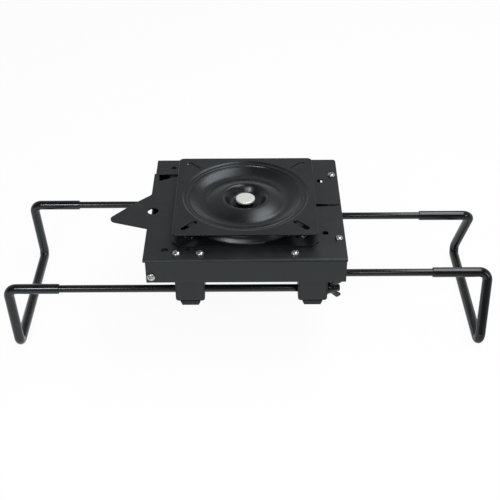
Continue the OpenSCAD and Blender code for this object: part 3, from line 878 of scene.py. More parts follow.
class Workshop:
    """The loaded frame, the finishes, and the calls that dress and place a piece."""

    def __init__(self, frame: dict) -> None:
        """Build every finish.
        """
        self.frame = frame
        effects = Effects()
        self.materials = {s: f.dress(s.value, effects) for s, f in FINISHES.items()}
        self.slots = {
            row["node"]: Slot(row["material_slot"]) for row in frame["record"]["subparts"]
        }
        self.bodies = {
            node: body
            for body, nodes in frame["record"]["behaviour"]["bodies"].items()
            for node in nodes
        }
        self.count = 0

    def dress_nodes(self) -> None:
        """Give every CAD node the finish of its slot, and paint the fasteners that sit in shade
        black as painted shade.
        """
        for name, node in self.frame["nodes"].items():
            painted_shade = name in FASTENERS_PAINTED_SHADE
            self.paint(node, Slot.BLACK_FASTENER if painted_shade else self.slots[name])

    def paint(self, piece: bpy.types.Object, slot: Slot) -> None:
        """Put one finish all over a piece."""
        piece.data.materials.clear()
        piece.data.materials.append(self.materials[slot])

    def mount(
        self,
        piece: bpy.types.Object,
        body: str,
        slot: Slot,
        replaces: tuple[str, ...] = (),
    ) -> bpy.types.Object:
        """Finish a piece and let it ride on its body.

        Args:
            piece: The finished mesh.
            body: The CAD body that carries it.
            slot: Its finish.
            replaces: CAD nodes that it stands for.

        Returns:
            The same piece.
        """
        put_down()
        self.paint(piece, slot)
        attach(piece, body)
        if replaces:
            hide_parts(*replaces)
        self.count += 1
        LOG.info("%s: %d faces, on %s", piece.name, len(piece.data.polygons), body)
        return piece

    def eased(self, node: str, name: str, width_mm: float, segments: int = 2) -> bpy.types.Object:
        """Stand a piece with softened edges in for a CAD node.

        Args:
            node: The CAD node.
            name: The new piece's name.
            width_mm: Width of the rounding in millimetres.
            segments: Faces across the rounding.

        Returns:
            The new piece.
        """
        piece = ease_edges(bench_copy(self.frame, node, name), width_mm * MM, segments)
        return self.mount(piece, self.bodies[node], self.slots[node], (node,))


# Sub-assemblies


@dataclass
class Housing:
    """The folded deck, its side walls, the cross bars and their screws.

    Attributes:
        fold_ease_mm: Rounding of the sheets' cut edges.
        screw_ease_mm: Rounding of the screws' edges.
    """

    fold_ease_mm: float = 0.45
    screw_ease_mm: float = 0.16

    def build(self, shop: Workshop) -> None:
        """Make the sheets' eased copies and the screws.

        Args:
            shop: The workshop.
        """
        for node, name in (
            ("deck_plate", "folded_deck"),
            ("left_side_wall", "left_wall_channel"),
            ("right_side_wall", "right_wall_channel"),
            ("front_cross_bar", "front_channel_bar"),
            ("rear_cross_bar", "rear_channel_bar"),
        ):
            shop.eased(node, name, self.fold_ease_mm)
        shop.eased("deck_screws", "pan_head_screws", self.screw_ease_mm)


@dataclass
class RailPair:
    """The two square tubes, their end caps and their foot strips.

    Attributes:
        tube_ease_mm: Rounding of the tubes' cut ends.
        cap_ease_mm: Rounding of the moulded caps.
        strip_ease_mm: Rounding of the strips.
    """

    tube_ease_mm: float = 0.3
    cap_ease_mm: float = 0.95
    strip_ease_mm: float = 0.6

    def build(self, shop: Workshop) -> None:
        """Make the eased tubes, caps and strips.

        Args:
            shop: The workshop.
        """
        for side in ("left", "right"):
            shop.eased(f"{side}_rail", f"{side}_square_tube", self.tube_ease_mm)
            shop.eased(f"{side}_foot_strip", f"{side}_strip", self.strip_ease_mm, 3)
        shop.eased("rail_end_caps", "moulded_end_caps", self.cap_ease_mm, 3)


# Corners of the pressed dish's upper face in millimetres, outward and up, from the rim, from
# the ball race and from the raised ring round the well.
LIP_CORNERS: Offsets = ((0.5, -0.4),)
RIM_CORNERS: Offsets = ((0.06, -0.004), (-0.6, -0.06))
RACE_CORNERS: Offsets = (
    (4.3, -0.35), (3.6, -0.85), (2.9, -1.2), (2.0, -1.4), (0.5, -1.55), (-0.9, -1.75),
    (-1.9, -2.5), (-2.6, -3.5), (-3.3, -3.85), (-4.0, -3.7), (-4.8, -3.65), (-6.0, -4.35),
    (-9.0, -5.9), (-14.0, -8.1), (-18.0, -9.2),
)
HUB_CORNERS: Offsets = (
    (24.0, -9.45), (21.5, -9.15), (19.0, -8.3), (16.0, -7.0), (12.0, -5.6), (8.0, -4.4),
    (4.5, -3.5), (2.0, -3.0), (0.0, -2.9), (-1.4, -3.2), (-3.0, -4.3), (-5.0, -6.6),
    (-7.0, -9.2), (-9.0, -11.5), (-11.0, -12.9),
)
# Corners of the lower plate's ring bead from the race and the plate's face: the outer face from
# foot to crown, and the hidden back.
BEAD_FACE: Offsets = (
    (12.2, -0.04), (11.2, 0.2), (10.2, 0.95), (9.2, 2.15), (8.2, 3.45), (7.3, 4.7), (6.6, 6.1),
    (6.1, 7.4), (5.4, 8.4), (4.4, 8.8),
)
BEAD_BACK: Offsets = ((4.3, 8.3), (5.3, 6.9), (6.7, 0.3), (7.0, -0.15), (12.0, -0.2))


@dataclass
class Turntable:
    """The dished top plate, the ring-bead plate under it and the pivot.

    Attributes:
        face_z: Height of the top plate's flat rim.
        rim_r: Radius where the pressed dish starts.
        race_r: Radius of the ball race.
        hub_r: Radius of the raised ring round the well.
        sheet: Thickness of the pressed plates.
        shank_r: Radius of the hole for the pivot.
        hub_floor_z: Height of the well's floor.
        base_z: Height of the lower plate's face.
        race_half: Half width of the race.
        race_z: Height of the sheet's underside over the race.
        well_in: How far the well's foot lies inside the raised ring.
        steps: Number of faces round the axis.
        crease_deg: Faces that meet at more than this keep a crisp edge.
        rim_ease_mm: Rounding of the square rim's edges.
        base_ease_mm: Rounding of the lower plate's edges.
        head_ease_mm: Rounding of the pivot's head.
        washer_ease_mm: Rounding of the washer's edges.
    """

    face_z: float = 171.7 * MM
    rim_r: float = 81.5 * MM
    race_r: float = 76.0 * MM
    hub_r: float = 30.0 * MM
    sheet: float = 2.0 * MM
    shank_r: float = 6.05 * MM
    hub_floor_z: float = 158.3 * MM
    base_z: float = 155.3 * MM
    race_half: float = 2.4 * MM
    race_z: float = 168.8 * MM
    well_in: float = 13.0 * MM
    steps: int = 200
    crease_deg: float = 50.0
    rim_ease_mm: float = 0.55
    base_ease_mm: float = 0.4
    head_ease_mm: float = 0.35
    washer_ease_mm: float = 0.3

    def upper_line(self) -> Section:
        """Draw the upper line of the pressed dish.

        Returns:
            The line from the hidden lip under the rim to the pivot's hole.
        """
        corners = [
            *set_out(self.rim_r, self.face_z, RIM_CORNERS),
            *set_out(self.race_r, self.face_z, RACE_CORNERS),
            *set_out(self.hub_r, self.face_z, HUB_CORNERS),
            (self.hub_r - self.well_in, self.hub_floor_z),
        ]
        lip = set_out(self.rim_r, self.face_z, LIP_CORNERS)
        return lip + flowing(corners) + [(self.shank_r, self.hub_floor_z)]

    def lower_line(self) -> Section:
        """Draw the lower line of the dish, one sheet below the upper one.

        Returns:
            The line from the pivot's hole out to the rim.
        """
        upper = self.upper_line()
        line: Section = []
        for i, (radius, height) in enumerate(upper):
            before, after = upper[max(i - 1, 0)], upper[min(i + 1, len(upper) - 1)]
            dr, dz = after[0] - before[0], after[1] - before[1]
            length = math.hypot(dr, dz) or 1.0
            low = (radius - self.sheet * dz / length, height + self.sheet * dr / length)
            over_race = low[0] > self.race_r - self.race_half
            line.append((low[0], max(low[1], self.race_z)) if over_race else low)
        line[0] = (upper[0][0], self.race_z)
        line[-1] = (self.shank_r, self.hub_floor_z - self.sheet)
        return line[::-1]

    def bead_line(self) -> Section:
        """Draw the thin shell over the lower plate's ring bead.

        Returns:
            The closed line, up the outer face and down the hidden back.
        """
        face = flowing(set_out(self.race_r, self.base_z, BEAD_FACE))
        return face + set_out(self.race_r, self.base_z, BEAD_BACK)

    def spun(self, name: str, section: Section) -> bpy.types.Object:
        """Spin a section about the swivel's axis.

        Args:
            name: The piece's name.
            section: Its closed outline.

        Returns:
            The piece, at its place.
        """
        piece = smooth(revolve(name, section, self.steps), self.crease_deg)
        return settle(piece, Matrix.Translation((AXIS_X, 0, 0)))

    def flat_rim(self, shop: Workshop) -> bpy.types.Object:
        """Keep the square rim with its slots from the CAD plate.

        Args:
            shop: The workshop.

        Returns:
            The rim alone.
        """
        rim = bench_copy(shop.frame, "swivel_top_plate", "pressed_top_plate")
        edit(rim, select=False)
        bpy.ops.mesh.select_mode(type="FACE")
        mesh = bmesh.from_edit_mesh(rim.data)
        for face in mesh.faces:
            inner = min(math.hypot(v.co.x - AXIS_X, v.co.y) for v in face.verts)
            face.select = inner < self.rim_r - 0.2 * MM
        bmesh.update_edit_mesh(rim.data)
        bpy.ops.mesh.delete(type="FACE")
        return close(rim)

    def build(self, shop: Workshop) -> None:
        """Make the plates and the pivot's eased pieces.

        Args:
            shop: The workshop.
        """
        dish = self.spun("pressed_dish", self.upper_line() + self.lower_line())
        shop.mount(dish, "turntable", Slot.SWIVEL)
        rim = ease_edges(self.flat_rim(shop), self.rim_ease_mm * MM, 3)
        shop.mount(rim, "turntable", Slot.SWIVEL, ("swivel_top_plate",))
        shop.eased("swivel_base_plate", "ring_bead_plate", self.base_ease_mm)
        bead = self.spun("ring_bead_face", self.bead_line())
        shop.mount(bead, shop.bodies["swivel_base_plate"], Slot.SWIVEL)
        shop.eased("pivot_bolt", "pivot_head", self.head_ease_mm, 3)
        shop.eased("pivot_top_washer", "well_washer", self.washer_ease_mm)


# Section of one thread ridge in millimetres: radius, and place along the rod.
THREAD_RIDGE: Offsets = ((4.2, -0.7), (4.63, -0.12), (4.63, 0.12), (4.2, 0.7))


@dataclass
class RodFrame:
    """One bent rod frame with its soft sleeve and threaded ends.

    Attributes:
        side: Side that it reaches out to.
        reach: Distance from the swivel axis to the legs' tops.
        arm_y: Half distance between the arms.
        bar_y: Half length of the lower bar.
        end_x: Where the arms end.
        lean: How far the lower bar is set inward.
        sleeve_on_arm: Length of sleeve on each arm.
        arm_z: Height of the arms.
        bar_z: Height of the lower bar.
        rod_r: Radius of the rod.
        core_r: Radius of the rod at the bottom of its thread.
        sleeve_r: Outer radius of the sleeve.
        bend_r: Radius of the bends.
        thread_len: Length of each thread.
        pitch: Pitch of the thread.
        thread_start: Distance from the arm's end to the first ridge.
        run_out: Length over which the core widens to the rod.
        rod_tip: Rounding of the rod's two ends.
        sleeve_tip: Rounding of the sleeve's two ends.
        crease_reach: How far from a bend's inner side the folds go.
        crease_fade: Distance over which they fade.
        crease_depth: Depth of the folds.
        crease_wave: Spacing of the folds.
        washer_ease_mm: Rounding of the washers' edges.
        faces_round: Number of faces round a bar.
        bend_steps: Number of faces along a bend.
        ridge_steps: Number of faces in one turn of the thread.
    """

    side: Side
    reach: float
    arm_y: float
    bar_y: float
    end_x: float
    lean: float
    sleeve_on_arm: float
    arm_z: float = 93.4 * MM
    bar_z: float = 6.4 * MM
    rod_r: float = 4.75 * MM
    core_r: float = 4.25 * MM
    sleeve_r: float = 6.4 * MM
    bend_r: float = 10.0 * MM
    thread_len: float = 50.0 * MM
    pitch: float = 1.5 * MM
    thread_start: float = 0.9 * MM
    run_out: float = 0.6 * MM
    rod_tip: float = 0.7 * MM
    sleeve_tip: float = 0.5 * MM
    crease_reach: float = 9.0 * MM
    crease_fade: float = 5.0 * MM
    crease_depth: float = 0.45 * MM
    crease_wave: float = 0.6 * MM
    washer_ease_mm: float = 0.25
    faces_round: int = 36
    bend_steps: int = 14
    ridge_steps: int = 20

    @property
    def word(self) -> str:
        """The side's name."""
        return self.side.name.lower()

    @property
    def sleeve_x(self) -> float:
        """Where the sleeve starts on both arms."""
        return AXIS_X + self.side.value * (self.reach - self.sleeve_on_arm)

    def corners(self, start_x: float) -> list[Vector]:
        """Corners of the frame's path.

        Args:
            start_x: Where both arms start.

        Returns:
            The corners, from the front arm round to the rear arm.
        """
        out = AXIS_X + self.side.value * self.reach
        low = AXIS_X + self.side.value * (self.reach - self.lean)
        return [
            Vector((start_x, -self.arm_y, self.arm_z)),
            Vector((out, -self.arm_y, self.arm_z)),
            Vector((low, -self.bar_y, self.bar_z)),
            Vector((low, self.bar_y, self.bar_z)),
            Vector((out, self.arm_y, self.arm_z)),
            Vector((start_x, self.arm_y, self.arm_z)),
        ]

    def sweep(self, name: str, start_x: float, radius: float, tip: float) -> bpy.types.Object:
        """Draw a round bar along the path by extruding straights and spinning bends.

        Args:
            name: The piece's name.
            start_x: Where both arms start.
            radius: Radius of the bar.
            tip: Rounding of its two ends.

        Returns:
            The bar.
        """
        points = self.corners(start_x)
        first = (points[1] - points[0]).normalized()
        put_down()
        bpy.ops.mesh.primitive_circle_add(
            vertices=self.faces_round, radius=radius - tip, fill_type="NGON"
        )
        bar = named(name)
        turn = first.to_track_quat("Z", "Y").to_matrix().to_4x4()
        settle(bar, Matrix.Translation(points[0]) @ turn)
        edit(bar)
        grow = radius / (radius - tip)
        bpy.ops.mesh.extrude_region_move(
            TRANSFORM_OT_translate={"value": first * tip}
        )
        bpy.ops.transform.resize(
            value=(grow, grow, grow), center_override=points[0] + first * tip
        )
        here = points[0] + first * tip
        for i in range(1, len(points)):
            along = (points[i] - points[i - 1]).normalized()
            last = i == len(points) - 1
            if last:
                stop = points[i] - along * tip
            else:
                onward = (points[i + 1] - points[i]).normalized()
                angle = along.angle(onward)
                back = self.bend_r * math.tan(angle / 2)
                stop = points[i] - along * back
            bpy.ops.mesh.extrude_region_move(
                TRANSFORM_OT_translate={"value": stop - here}
            )
            here = stop
            if last:
                break
            inward = (onward - along * along.dot(onward)).normalized()
            centre = stop + inward * self.bend_r
            axis = along.cross(inward)
            bpy.ops.mesh.spin(
                steps=self.bend_steps,
                angle=-angle,
                center=centre,
                axis=axis,
                use_auto_merge=False,
            )
            here = points[i] + onward * back
        bpy.ops.mesh.extrude_region_move(TRANSFORM_OT_translate={"value": along * tip})
        bpy.ops.transform.resize(
            value=(1 / grow, 1 / grow, 1 / grow), center_override=here + along * tip
        )
        close(bar)
        return smooth(face_out(bar), 38.0)

    def crease(self, sleeve: bpy.types.Object) -> None:
        """Press small folds into the sleeve on the inner side of its bends.

        Args:
            sleeve: The sleeve to crease.
        """
        points = self.corners(self.sleeve_x)
        for corner in (1, 2, 3, 4):
            p = points[corner]
            u = (points[corner - 1] - p).normalized()
            v = (points[corner + 1] - p).normalized()
            inner = (u + v).normalized()
            angle = math.pi - u.angle(v)
            middle = p + inner * self.bend_r * (1 / math.cos(angle / 2) - 1)
            focus = middle + inner * self.sleeve_r
            for vertex in sleeve.data.vertices:
                away = (vertex.co - focus).length
                if away < self.crease_reach:
                    along = (vertex.co - focus).dot((u - v).normalized())
                    depth = self.crease_depth * math.exp(-((away / self.crease_fade) ** 2))
                    vertex.co -= inner * depth * (1 + math.cos(along / self.crease_wave))
        sleeve.data.update()

    def thread(self, name: str, y: float) -> bpy.types.Object:
        """Wind a fine thread as a ridge round the arm's end.

        Args:
            name: The piece's name.
            y: Where the arm lies along Y.

        Returns:
            The thread.
        """
        turns = int(self.thread_len / self.pitch) - 1
        put_down()
        bpy.ops.mesh.primitive_circle_add(
            vertices=len(THREAD_RIDGE), radius=0.5 * MM, fill_type="NOTHING"
        )
        ridge = named(name)
        for vertex, (radius, height) in zip(ridge.data.vertices, THREAD_RIDGE):
            vertex.co = (radius * MM, 0.0, height * MM)
        finish_modifier(
            ridge,
            "SCREW",
            angle=2 * math.pi,
            screw_offset=self.pitch,
            iterations=turns,
            steps=self.ridge_steps,
            render_steps=self.ridge_steps,
            use_merge_vertices=False,
        )
        edit(ridge, select=False)
        bpy.ops.mesh.select_non_manifold()
        bpy.ops.mesh.edge_face_add()
        close(ridge)
        onward = Vector((self.side.value, 0, 0))
        turn = onward.to_track_quat("Z", "Y").to_matrix().to_4x4()
        start = Vector((self.end_x, y, self.arm_z)) + onward * self.thread_start
        settle(ridge, Matrix.Translation(start) @ turn)
        return smooth(face_out(ridge), 30.0)

    def build(self, shop: Workshop) -> None:
        """Make the rod, the sleeve and the threads.

        Args:
            shop: The workshop.
        """
        side, body = self.word, f"{self.word}_frame"
        rod = self.sweep(f"{side}_bent_rod", self.end_x, self.core_r, self.rod_tip)
        self.swell(rod)
        shop.mount(rod, body, Slot.ROD, (f"{side}_frame_rod",))
        sleeve = self.sweep(
            f"{side}_soft_sleeve", self.sleeve_x, self.sleeve_r, self.sleeve_tip
        )
        self.crease(sleeve)
        shop.mount(sleeve, body, Slot.SLEEVE, (f"{side}_frame_sleeve",))
        for end, y in (("front", -self.arm_y), ("rear", self.arm_y)):
            shop.mount(self.thread(f"{side}_{end}_thread", y), body, Slot.ROD)
        shop.eased(f"{side}_frame_washers", f"{side}_flat_washers", self.washer_ease_mm)

    def swell(self, rod: bpy.types.Object) -> None:
        """Widen the rod to its full size beyond the threads.

        Args:
            rod: The rod, drawn at the thread's core size.
        """
        grow = self.rod_r / self.core_r
        stop = self.end_x + self.side.value * self.thread_len
        edit(rod)
        for x in (stop - self.side.value * self.run_out, stop):
            bpy.ops.mesh.select_all(action="SELECT")
            bpy.ops.mesh.bisect(plane_co=(x, 0, 0), plane_no=(1, 0, 0))
        close(rod)
        for vertex in rod.data.vertices:
            past = (vertex.co.x - stop) * self.side.value
            if past > -1e-5:
                vertex.co = self._outward(vertex.co, grow)
        rod.data.update()

    def _outward(self, point: Vector, grow: float) -> Vector:
        """Move a point of the bar away from the path's centre line.

        Args:
            point: A point on the bar.
            grow: How much farther from the line it goes.

        Returns:
            The moved point.
        """
        best, foot = None, point
        points = self.corners(self.end_x)
        for i in range(1, len(points)):
            a, b = points[i - 1], points[i]
            share = max(0.0, min(1.0, (point - a).dot(b - a) / (b - a).length_squared))
            near = a + (b - a) * share
            if best is None or (point - near).length < best:
                best, foot = (point - near).length, near
        for i in range(1, len(points) - 1):
            p = points[i]
            u = (points[i - 1] - p).normalized()
            v = (points[i + 1] - p).normalized()
            angle = math.pi - u.angle(v)
            centre = p + (u + v).normalized() * self.bend_r / math.cos(angle / 2)
            normal = u.cross(v).normalized()
            flat = (point - centre) - normal * (point - centre).dot(normal)
            near = centre + flat.normalized() * self.bend_r
            back = self.bend_r * math.tan(angle / 2)
            on_bend = (near - p).dot(u) <= back + 1e-6 and (near - p).dot(v) <= back + 1e-6
            if on_bend and (point - near).length < self.rod_r * 1.2:
                foot = near
        return foot + (point - foot) * grow


# Outlines of the wing nut in millimetres, radius and height over its seat: the hub's outer
# side, and one wing.
HUB_OUTLINE: Offsets = (
    (5.2, 0.0), (7.1, 0.0), (7.6, 0.5), (7.6, 2.0), (7.2, 2.9), (6.5, 7.6), (6.1, 8.0),
    (5.1, 8.0),
)
WING_OUTLINE: Offsets = (
    (5.1, 1.1), (7.4, 0.9), (10.6, 3.8), (14.2, 7.1), (17.6, 10.3), (18.2, 11.5),
    (17.9, 12.6), (14.7, 15.9), (13.5, 16.4), (12.4, 16.2), (9.3, 12.3), (7.2, 9.5),
    (5.9, 7.7), (5.1, 7.4),
)


@dataclass
class WingNut:
    """A cast wing nut on one arm's end.

    Attributes:
        node: The CAD node that it stands for.
        body: The body that it turns with.
        x: Distance of its seat from the swivel axis along X.
        y: Where its arm lies along Y.
        away: +1 where it points to +X, -1 where it points to -X.
        spin_deg: How far its wings are turned.
        arm_z: Height of the arm.
        bore_r: Radius of its bore.
        bore_low: Height of the bore's lower edge over the seat.
        bore_top: Height of its upper edge.
        wing_half: Half thickness of a wing.
        wing_ease: Rounding of a wing's edges.
        grain: Size of the cells that round the casting off.
        rounds: Number of smoothing passes.
    """

    node: str
    body: str
    x: float
    y: float
    away: int
    spin_deg: float
    arm_z: float = 93.4 * MM
    bore_r: float = 4.72 * MM
    bore_low: float = 0.3 * MM
    bore_top: float = 7.6 * MM
    wing_half: float = 1.45 * MM
    wing_ease: float = 0.6 * MM
    grain: float = 0.42 * MM
    rounds: int = 5

    def hub(self) -> bpy.types.Object:
        """Turn the hub with its bore.

        Returns:
            The hub, seat on z = 0.
        """
        outside = set_out(0.0, 0.0, HUB_OUTLINE)
        section = [(self.bore_r, self.bore_low), *outside, (self.bore_r, self.bore_top)]
        return revolve(self.node + "_hub", section, 72)

    def wing(self, turn_deg: float) -> bpy.types.Object:
        """Shape one wing from a flat outline.

        Args:
            turn_deg: How far it is turned about the nut's axis.

        Returns:
            The wing.
        """
        put_down()
        bpy.ops.mesh.primitive_circle_add(
            vertices=len(WING_OUTLINE), radius=0.01, fill_type="NGON"
        )
        wing = named(self.node + "_wing")
        for vertex, (radius, height) in zip(wing.data.vertices, WING_OUTLINE):
            vertex.co = (radius * MM, -self.wing_half, height * MM)
        edit(wing)
        bpy.ops.mesh.extrude_region_move(
            TRANSFORM_OT_translate={"value": (0, 2 * self.wing_half, 0)}
        )
        close(wing)
        face_out(wing)
        finish_modifier(
            wing,
            "BEVEL",
            width=self.wing_ease,
            segments=3,
            limit_method="ANGLE",
            angle_limit=math.radians(50),
            use_clamp_overlap=True,
        )
        return settle(wing, Matrix.Rotation(math.radians(turn_deg), 4, "Z"))

    def build(self, shop: Workshop) -> None:
        """Join, round off and place the nut.

        Args:
            shop: The workshop.
        """
        nut = self.hub()
        for wing in (self.wing(0.0), self.wing(180.0)):
            finish_modifier(nut, "BOOLEAN", operation="UNION", object=wing, solver="EXACT")
            bpy.data.objects.remove(wing)
        nut.name = self.node.replace("frame_", "") + "_casting"
        nut.data.name = nut.name
        finish_modifier(nut, "REMESH", mode="VOXEL", voxel_size=self.grain)
        finish_modifier(nut, "SMOOTH", factor=0.5, iterations=self.rounds)
        turn = Vector((self.away, 0, 0)).to_track_quat("Z", "Y").to_matrix().to_4x4()
        spin = Matrix.Rotation(math.radians(self.spin_deg), 4, "Z")
        settle(nut, Matrix.Translation((AXIS_X + self.x, self.y, self.arm_z)) @ turn @ spin)
        smooth(nut, 60.0)
        shop.mount(nut, self.body, Slot.BLACK_FASTENER, (self.node,))


# Studio


@dataclass(frozen=True)
class Lamp:
    """One soft rectangular lamp.

    Attributes:
        name: Its name.
        at: Its place.
        aim: The point that it faces.
        size: Its two sides in metres, the first across its tilt and the second along it.
        watts: Its power.
    """

    name: str
    at: Point
    aim: Point
    size: tuple[float, float]
    watts: float

    def hang(self) -> None:
        """Hang the lamp in the scene."""
        data = bpy.data.lights.new(self.name, "AREA")
        data.shape = "RECTANGLE"
        data.size, data.size_y = self.size
        data.energy = self.watts
        lamp = bpy.data.objects.new(self.name, data)
        bpy.context.scene.collection.objects.link(lamp)
        lamp.location = self.at
        ahead = Vector(self.aim) - Vector(self.at)
        lamp.rotation_euler = ahead.to_track_quat("-Z", "Y").to_euler()


LAMPS = (
    Lamp("left_softbox", (-0.47, -0.9, 0.94), (-0.25, -0.05, 0.1), (0.3, 0.25), 4.4),
    Lamp("front_strip", (-0.2, -1.5, 1.36), (-0.1, 0.0, 0.1), (0.5, 0.46), 4.4),
    Lamp("top_softbox", (0.45, 0.12, 1.4), (0.3, 0.12, 0.1), (1.6, 0.5), 13.0),
    Lamp("right_softbox", (1.0, -0.75, 0.6), (0.0, 0.0, 0.1), (0.4, 0.4), 2.0),
)


@dataclass(frozen=True)
class Fade:
    """A level that changes softly from one place to another.

    Attributes:
        start: Where it starts to change.
        stop: Where it has changed.
        before: Level up to the start.
        after: Level from the stop on.
    """

    start: float
    stop: float
    before: float
    after: float

    def along(self, w: Wiring, value: bpy.types.NodeSocket) -> bpy.types.NodeSocket:
        """Read the level along a value.

        Args:
            w: Wiring of the floor or the world.
            value: The place, such as a height.

        Returns:
            A socket with the level.
        """
        return w.remap(value, self.start, self.stop, self.before, self.after)


@dataclass
class Studio:
    """Plain pale floor, soft lamps and the camera.

    Attributes:
        camera_at: Place of the camera.
        looks_at: Point in the middle of the view.
        roll_deg: Turn of the camera about its view.
        lens: Focal length for the sensor.
        sensor: Width of the sensor in millimetres.
        backdrop: Level of the pale backdrop, from the floor up.
        glow: What the soft glow over it adds.
        ceiling: How far the ceiling dims.
        near: How far the near side dims.
        room_level: Level of the room's light on dull faces.
        floor_size: Side of the floor.
        floor_drop: How far the floor lies below the lowest piece.
        floor_tone: Grey of the floor's dull share.
        floor_side: Level of the floor in gloss, from left to right.
        floor_white: Share of the floor that looks plain white.
    """

    camera_at: Point = (0.0043, -1.0688, 0.8697)
    looks_at: Point = (-0.00011, 0.0, 0.08292)
    roll_deg: float = -0.42
    lens: float = 71.68
    sensor: float = 36.0
    backdrop: Fade = Fade(0.05, 0.48, 0.9, 0.33)
    glow: Fade = Fade(0.5, 0.6, 0.0, 0.13)
    ceiling: Fade = Fade(0.66, 0.95, 1.0, 0.25)
    near: Fade = Fade(-0.4, 0.2, 0.22, 1.0)
    room_level: float = 0.35
    floor_size: float = 9.0
    floor_drop: float = 0.2 * MM
    floor_tone: float = 0.9
    floor_side: Fade = Fade(0.16, 0.34, 1.0, 0.5)
    floor_white: float = 0.94

    def place_camera(self) -> None:
        """Set the camera at the viewing angle."""
        data = bpy.data.cameras.new("camera")
        data.lens = self.lens
        data.sensor_width = self.sensor
        data.sensor_fit = "HORIZONTAL"
        data.clip_start = 0.01
        data.clip_end = 50.0
        camera = bpy.data.objects.new("camera", data)
        bpy.context.scene.collection.objects.link(camera)
        ahead = (Vector(self.looks_at) - Vector(self.camera_at)).normalized()
        flat = ahead.cross(Vector((0, 0, 1))).normalized()
        rise = flat.cross(ahead)
        roll = math.radians(self.roll_deg)
        right = flat * math.cos(roll) + rise * math.sin(roll)
        up = rise * math.cos(roll) - flat * math.sin(roll)
        pose = Matrix((right, up, -ahead)).transposed().to_4x4()
        pose.translation = Vector(self.camera_at)
        camera.matrix_world = pose
        bpy.context.scene.camera = camera

    @staticmethod
    def seen_white(w: Wiring) -> bpy.types.NodeSocket:
        """Mask of the rays that see the pale background.

        Args:
            w: Wiring of the floor or the world.

        Returns:
            A socket that is 1 for camera, glossy and transmission rays.
        """
        path = w.add("ShaderNodeLightPath")
        first = w.maths("MAXIMUM", path.outputs["Is Camera Ray"], path.outputs["Is Glossy Ray"])
        return w.maths("MAXIMUM", first, path.outputs["Is Transmission Ray"])

    def sky(self, w: Wiring) -> bpy.types.NodeSocket:
        """Level of the studio: a pale backdrop, a dim ceiling and a dark near side.

        Args:
            w: Wiring of the world.

        Returns:
            A socket with the level for the direction that is seen.
        """
        place = w.add("ShaderNodeTexCoord")
        split = w.add("ShaderNodeSeparateXYZ")
        w.join(place.outputs["Generated"], split.inputs[0])
        height = split.outputs["Z"]
        back = w.maths("ADD", self.backdrop.along(w, height), self.glow.along(w, height))
        level = w.maths("MULTIPLY", back, self.ceiling.along(w, height))
        level = w.maths("MULTIPLY", level, self.near.along(w, split.outputs["Y"]))
        path = w.add("ShaderNodeLightPath")
        return w.maths("MAXIMUM", path.outputs["Is Camera Ray"], level)

    def lay_floor(self) -> None:
        """Lay the floor that the lower bars stand on."""
        put_down()
        bpy.ops.mesh.primitive_plane_add(
            size=self.floor_size, location=(0, 0, -self.floor_drop)
        )
        floor = named("studio_floor")
        material = bpy.data.materials.new("pale_floor")
        material.use_nodes = True
        material.node_tree.nodes.clear()
        w = Wiring(material.node_tree)
        out = w.add("ShaderNodeOutputMaterial")
        grey = (self.floor_tone, self.floor_tone, self.floor_tone, 1.0)
        matt = w.add("ShaderNodeBsdfDiffuse", in_Color=grey)
        white = w.add("ShaderNodeEmission", in_Color=(1, 1, 1, 1))
        place = w.add("ShaderNodeTexCoord")
        split = w.add("ShaderNodeSeparateXYZ")
        w.join(place.outputs["Object"], split.inputs[0])
        path = w.add("ShaderNodeLightPath")
        side = self.floor_side.along(w, split.outputs["X"])
        seen = w.maths("MAXIMUM", path.outputs["Is Camera Ray"], side)
        w.join(seen, white.inputs["Strength"])
        share = w.maths("MULTIPLY", self.seen_white(w), self.floor_white)
        blend = w.add("ShaderNodeMixShader")
        w.join(share, blend.inputs["Fac"])
        w.join(matt.outputs["BSDF"], blend.inputs[1])
        w.join(white.outputs["Emission"], blend.inputs[2])
        w.join(blend.outputs["Shader"], out.inputs["Surface"])
        floor.data.materials.append(material)

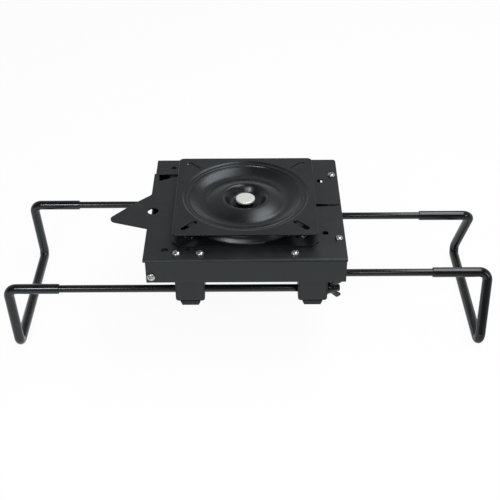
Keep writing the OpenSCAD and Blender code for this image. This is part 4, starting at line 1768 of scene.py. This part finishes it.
    def light(self) -> None:
        """Set the world's level and hang the lamps."""
        world = bpy.data.worlds.new("studio_world")
        bpy.context.scene.world = world
        world.use_nodes = True
        world.node_tree.nodes.clear()
        w = Wiring(world.node_tree)
        out = w.add("ShaderNodeOutputWorld")
        level = w.add(
            "ShaderNodeBackground", in_Color=(1, 1, 1, 1), in_Strength=self.room_level
        )
        white = w.add("ShaderNodeBackground", in_Color=(1, 1, 1, 1))
        w.join(self.sky(w), white.inputs["Strength"])
        blend = w.add("ShaderNodeMixShader")
        w.join(self.seen_white(w), blend.inputs["Fac"])
        w.join(level.outputs["Background"], blend.inputs[1])
        w.join(white.outputs["Background"], blend.inputs[2])
        w.join(blend.outputs["Shader"], out.inputs["Surface"])
        for lamp in LAMPS:
            lamp.hang()

    def build(self) -> None:
        """Set up the whole studio."""
        bpy.context.scene.view_settings.view_transform = "Standard"
        self.place_camera()
        self.lay_floor()
        self.light()


# Main


def main() -> None:
    """Build the looks, piece by piece."""
    logging.basicConfig(level=logging.INFO, format="%(name)s %(message)s")
    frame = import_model()
    shop = Workshop(frame)
    shop.dress_nodes()
    Housing().build(shop)
    RailPair().build(shop)
    Turntable().build(shop)
    left = RodFrame(
        Side.LEFT,
        reach=298 * MM,
        arm_y=94.3 * MM,
        bar_y=97.5 * MM,
        end_x=AXIS_X + 117.65 * MM,
        lean=4.5 * MM,
        sleeve_on_arm=64.5 * MM,
    )
    right = RodFrame(
        Side.RIGHT,
        reach=309 * MM,
        arm_y=64 * MM,
        bar_y=104.5 * MM,
        end_x=AXIS_X - 103.25 * MM,
        lean=8 * MM,
        sleeve_on_arm=71 * MM,
    )
    for rod_frame in (left, right):
        rod_frame.build(shop)
    left_seat, right_seat = 103.3 * MM, -88.9 * MM
    for nut in (
        WingNut("left_frame_front_nut", "left_front_nut", left_seat, -left.arm_y, 1, -76),
        WingNut("left_frame_rear_nut", "left_rear_nut", left_seat, left.arm_y, 1, 70),
        WingNut("right_frame_front_nut", "right_front_nut", right_seat, -right.arm_y, -1, 8),
        WingNut("right_frame_rear_nut", "right_rear_nut", right_seat, right.arm_y, -1, 115),
    ):
        nut.build(shop)
    Studio().build()
    LOG.info("%d pieces added", shop.count)


if __name__ == "__main__":
    main()
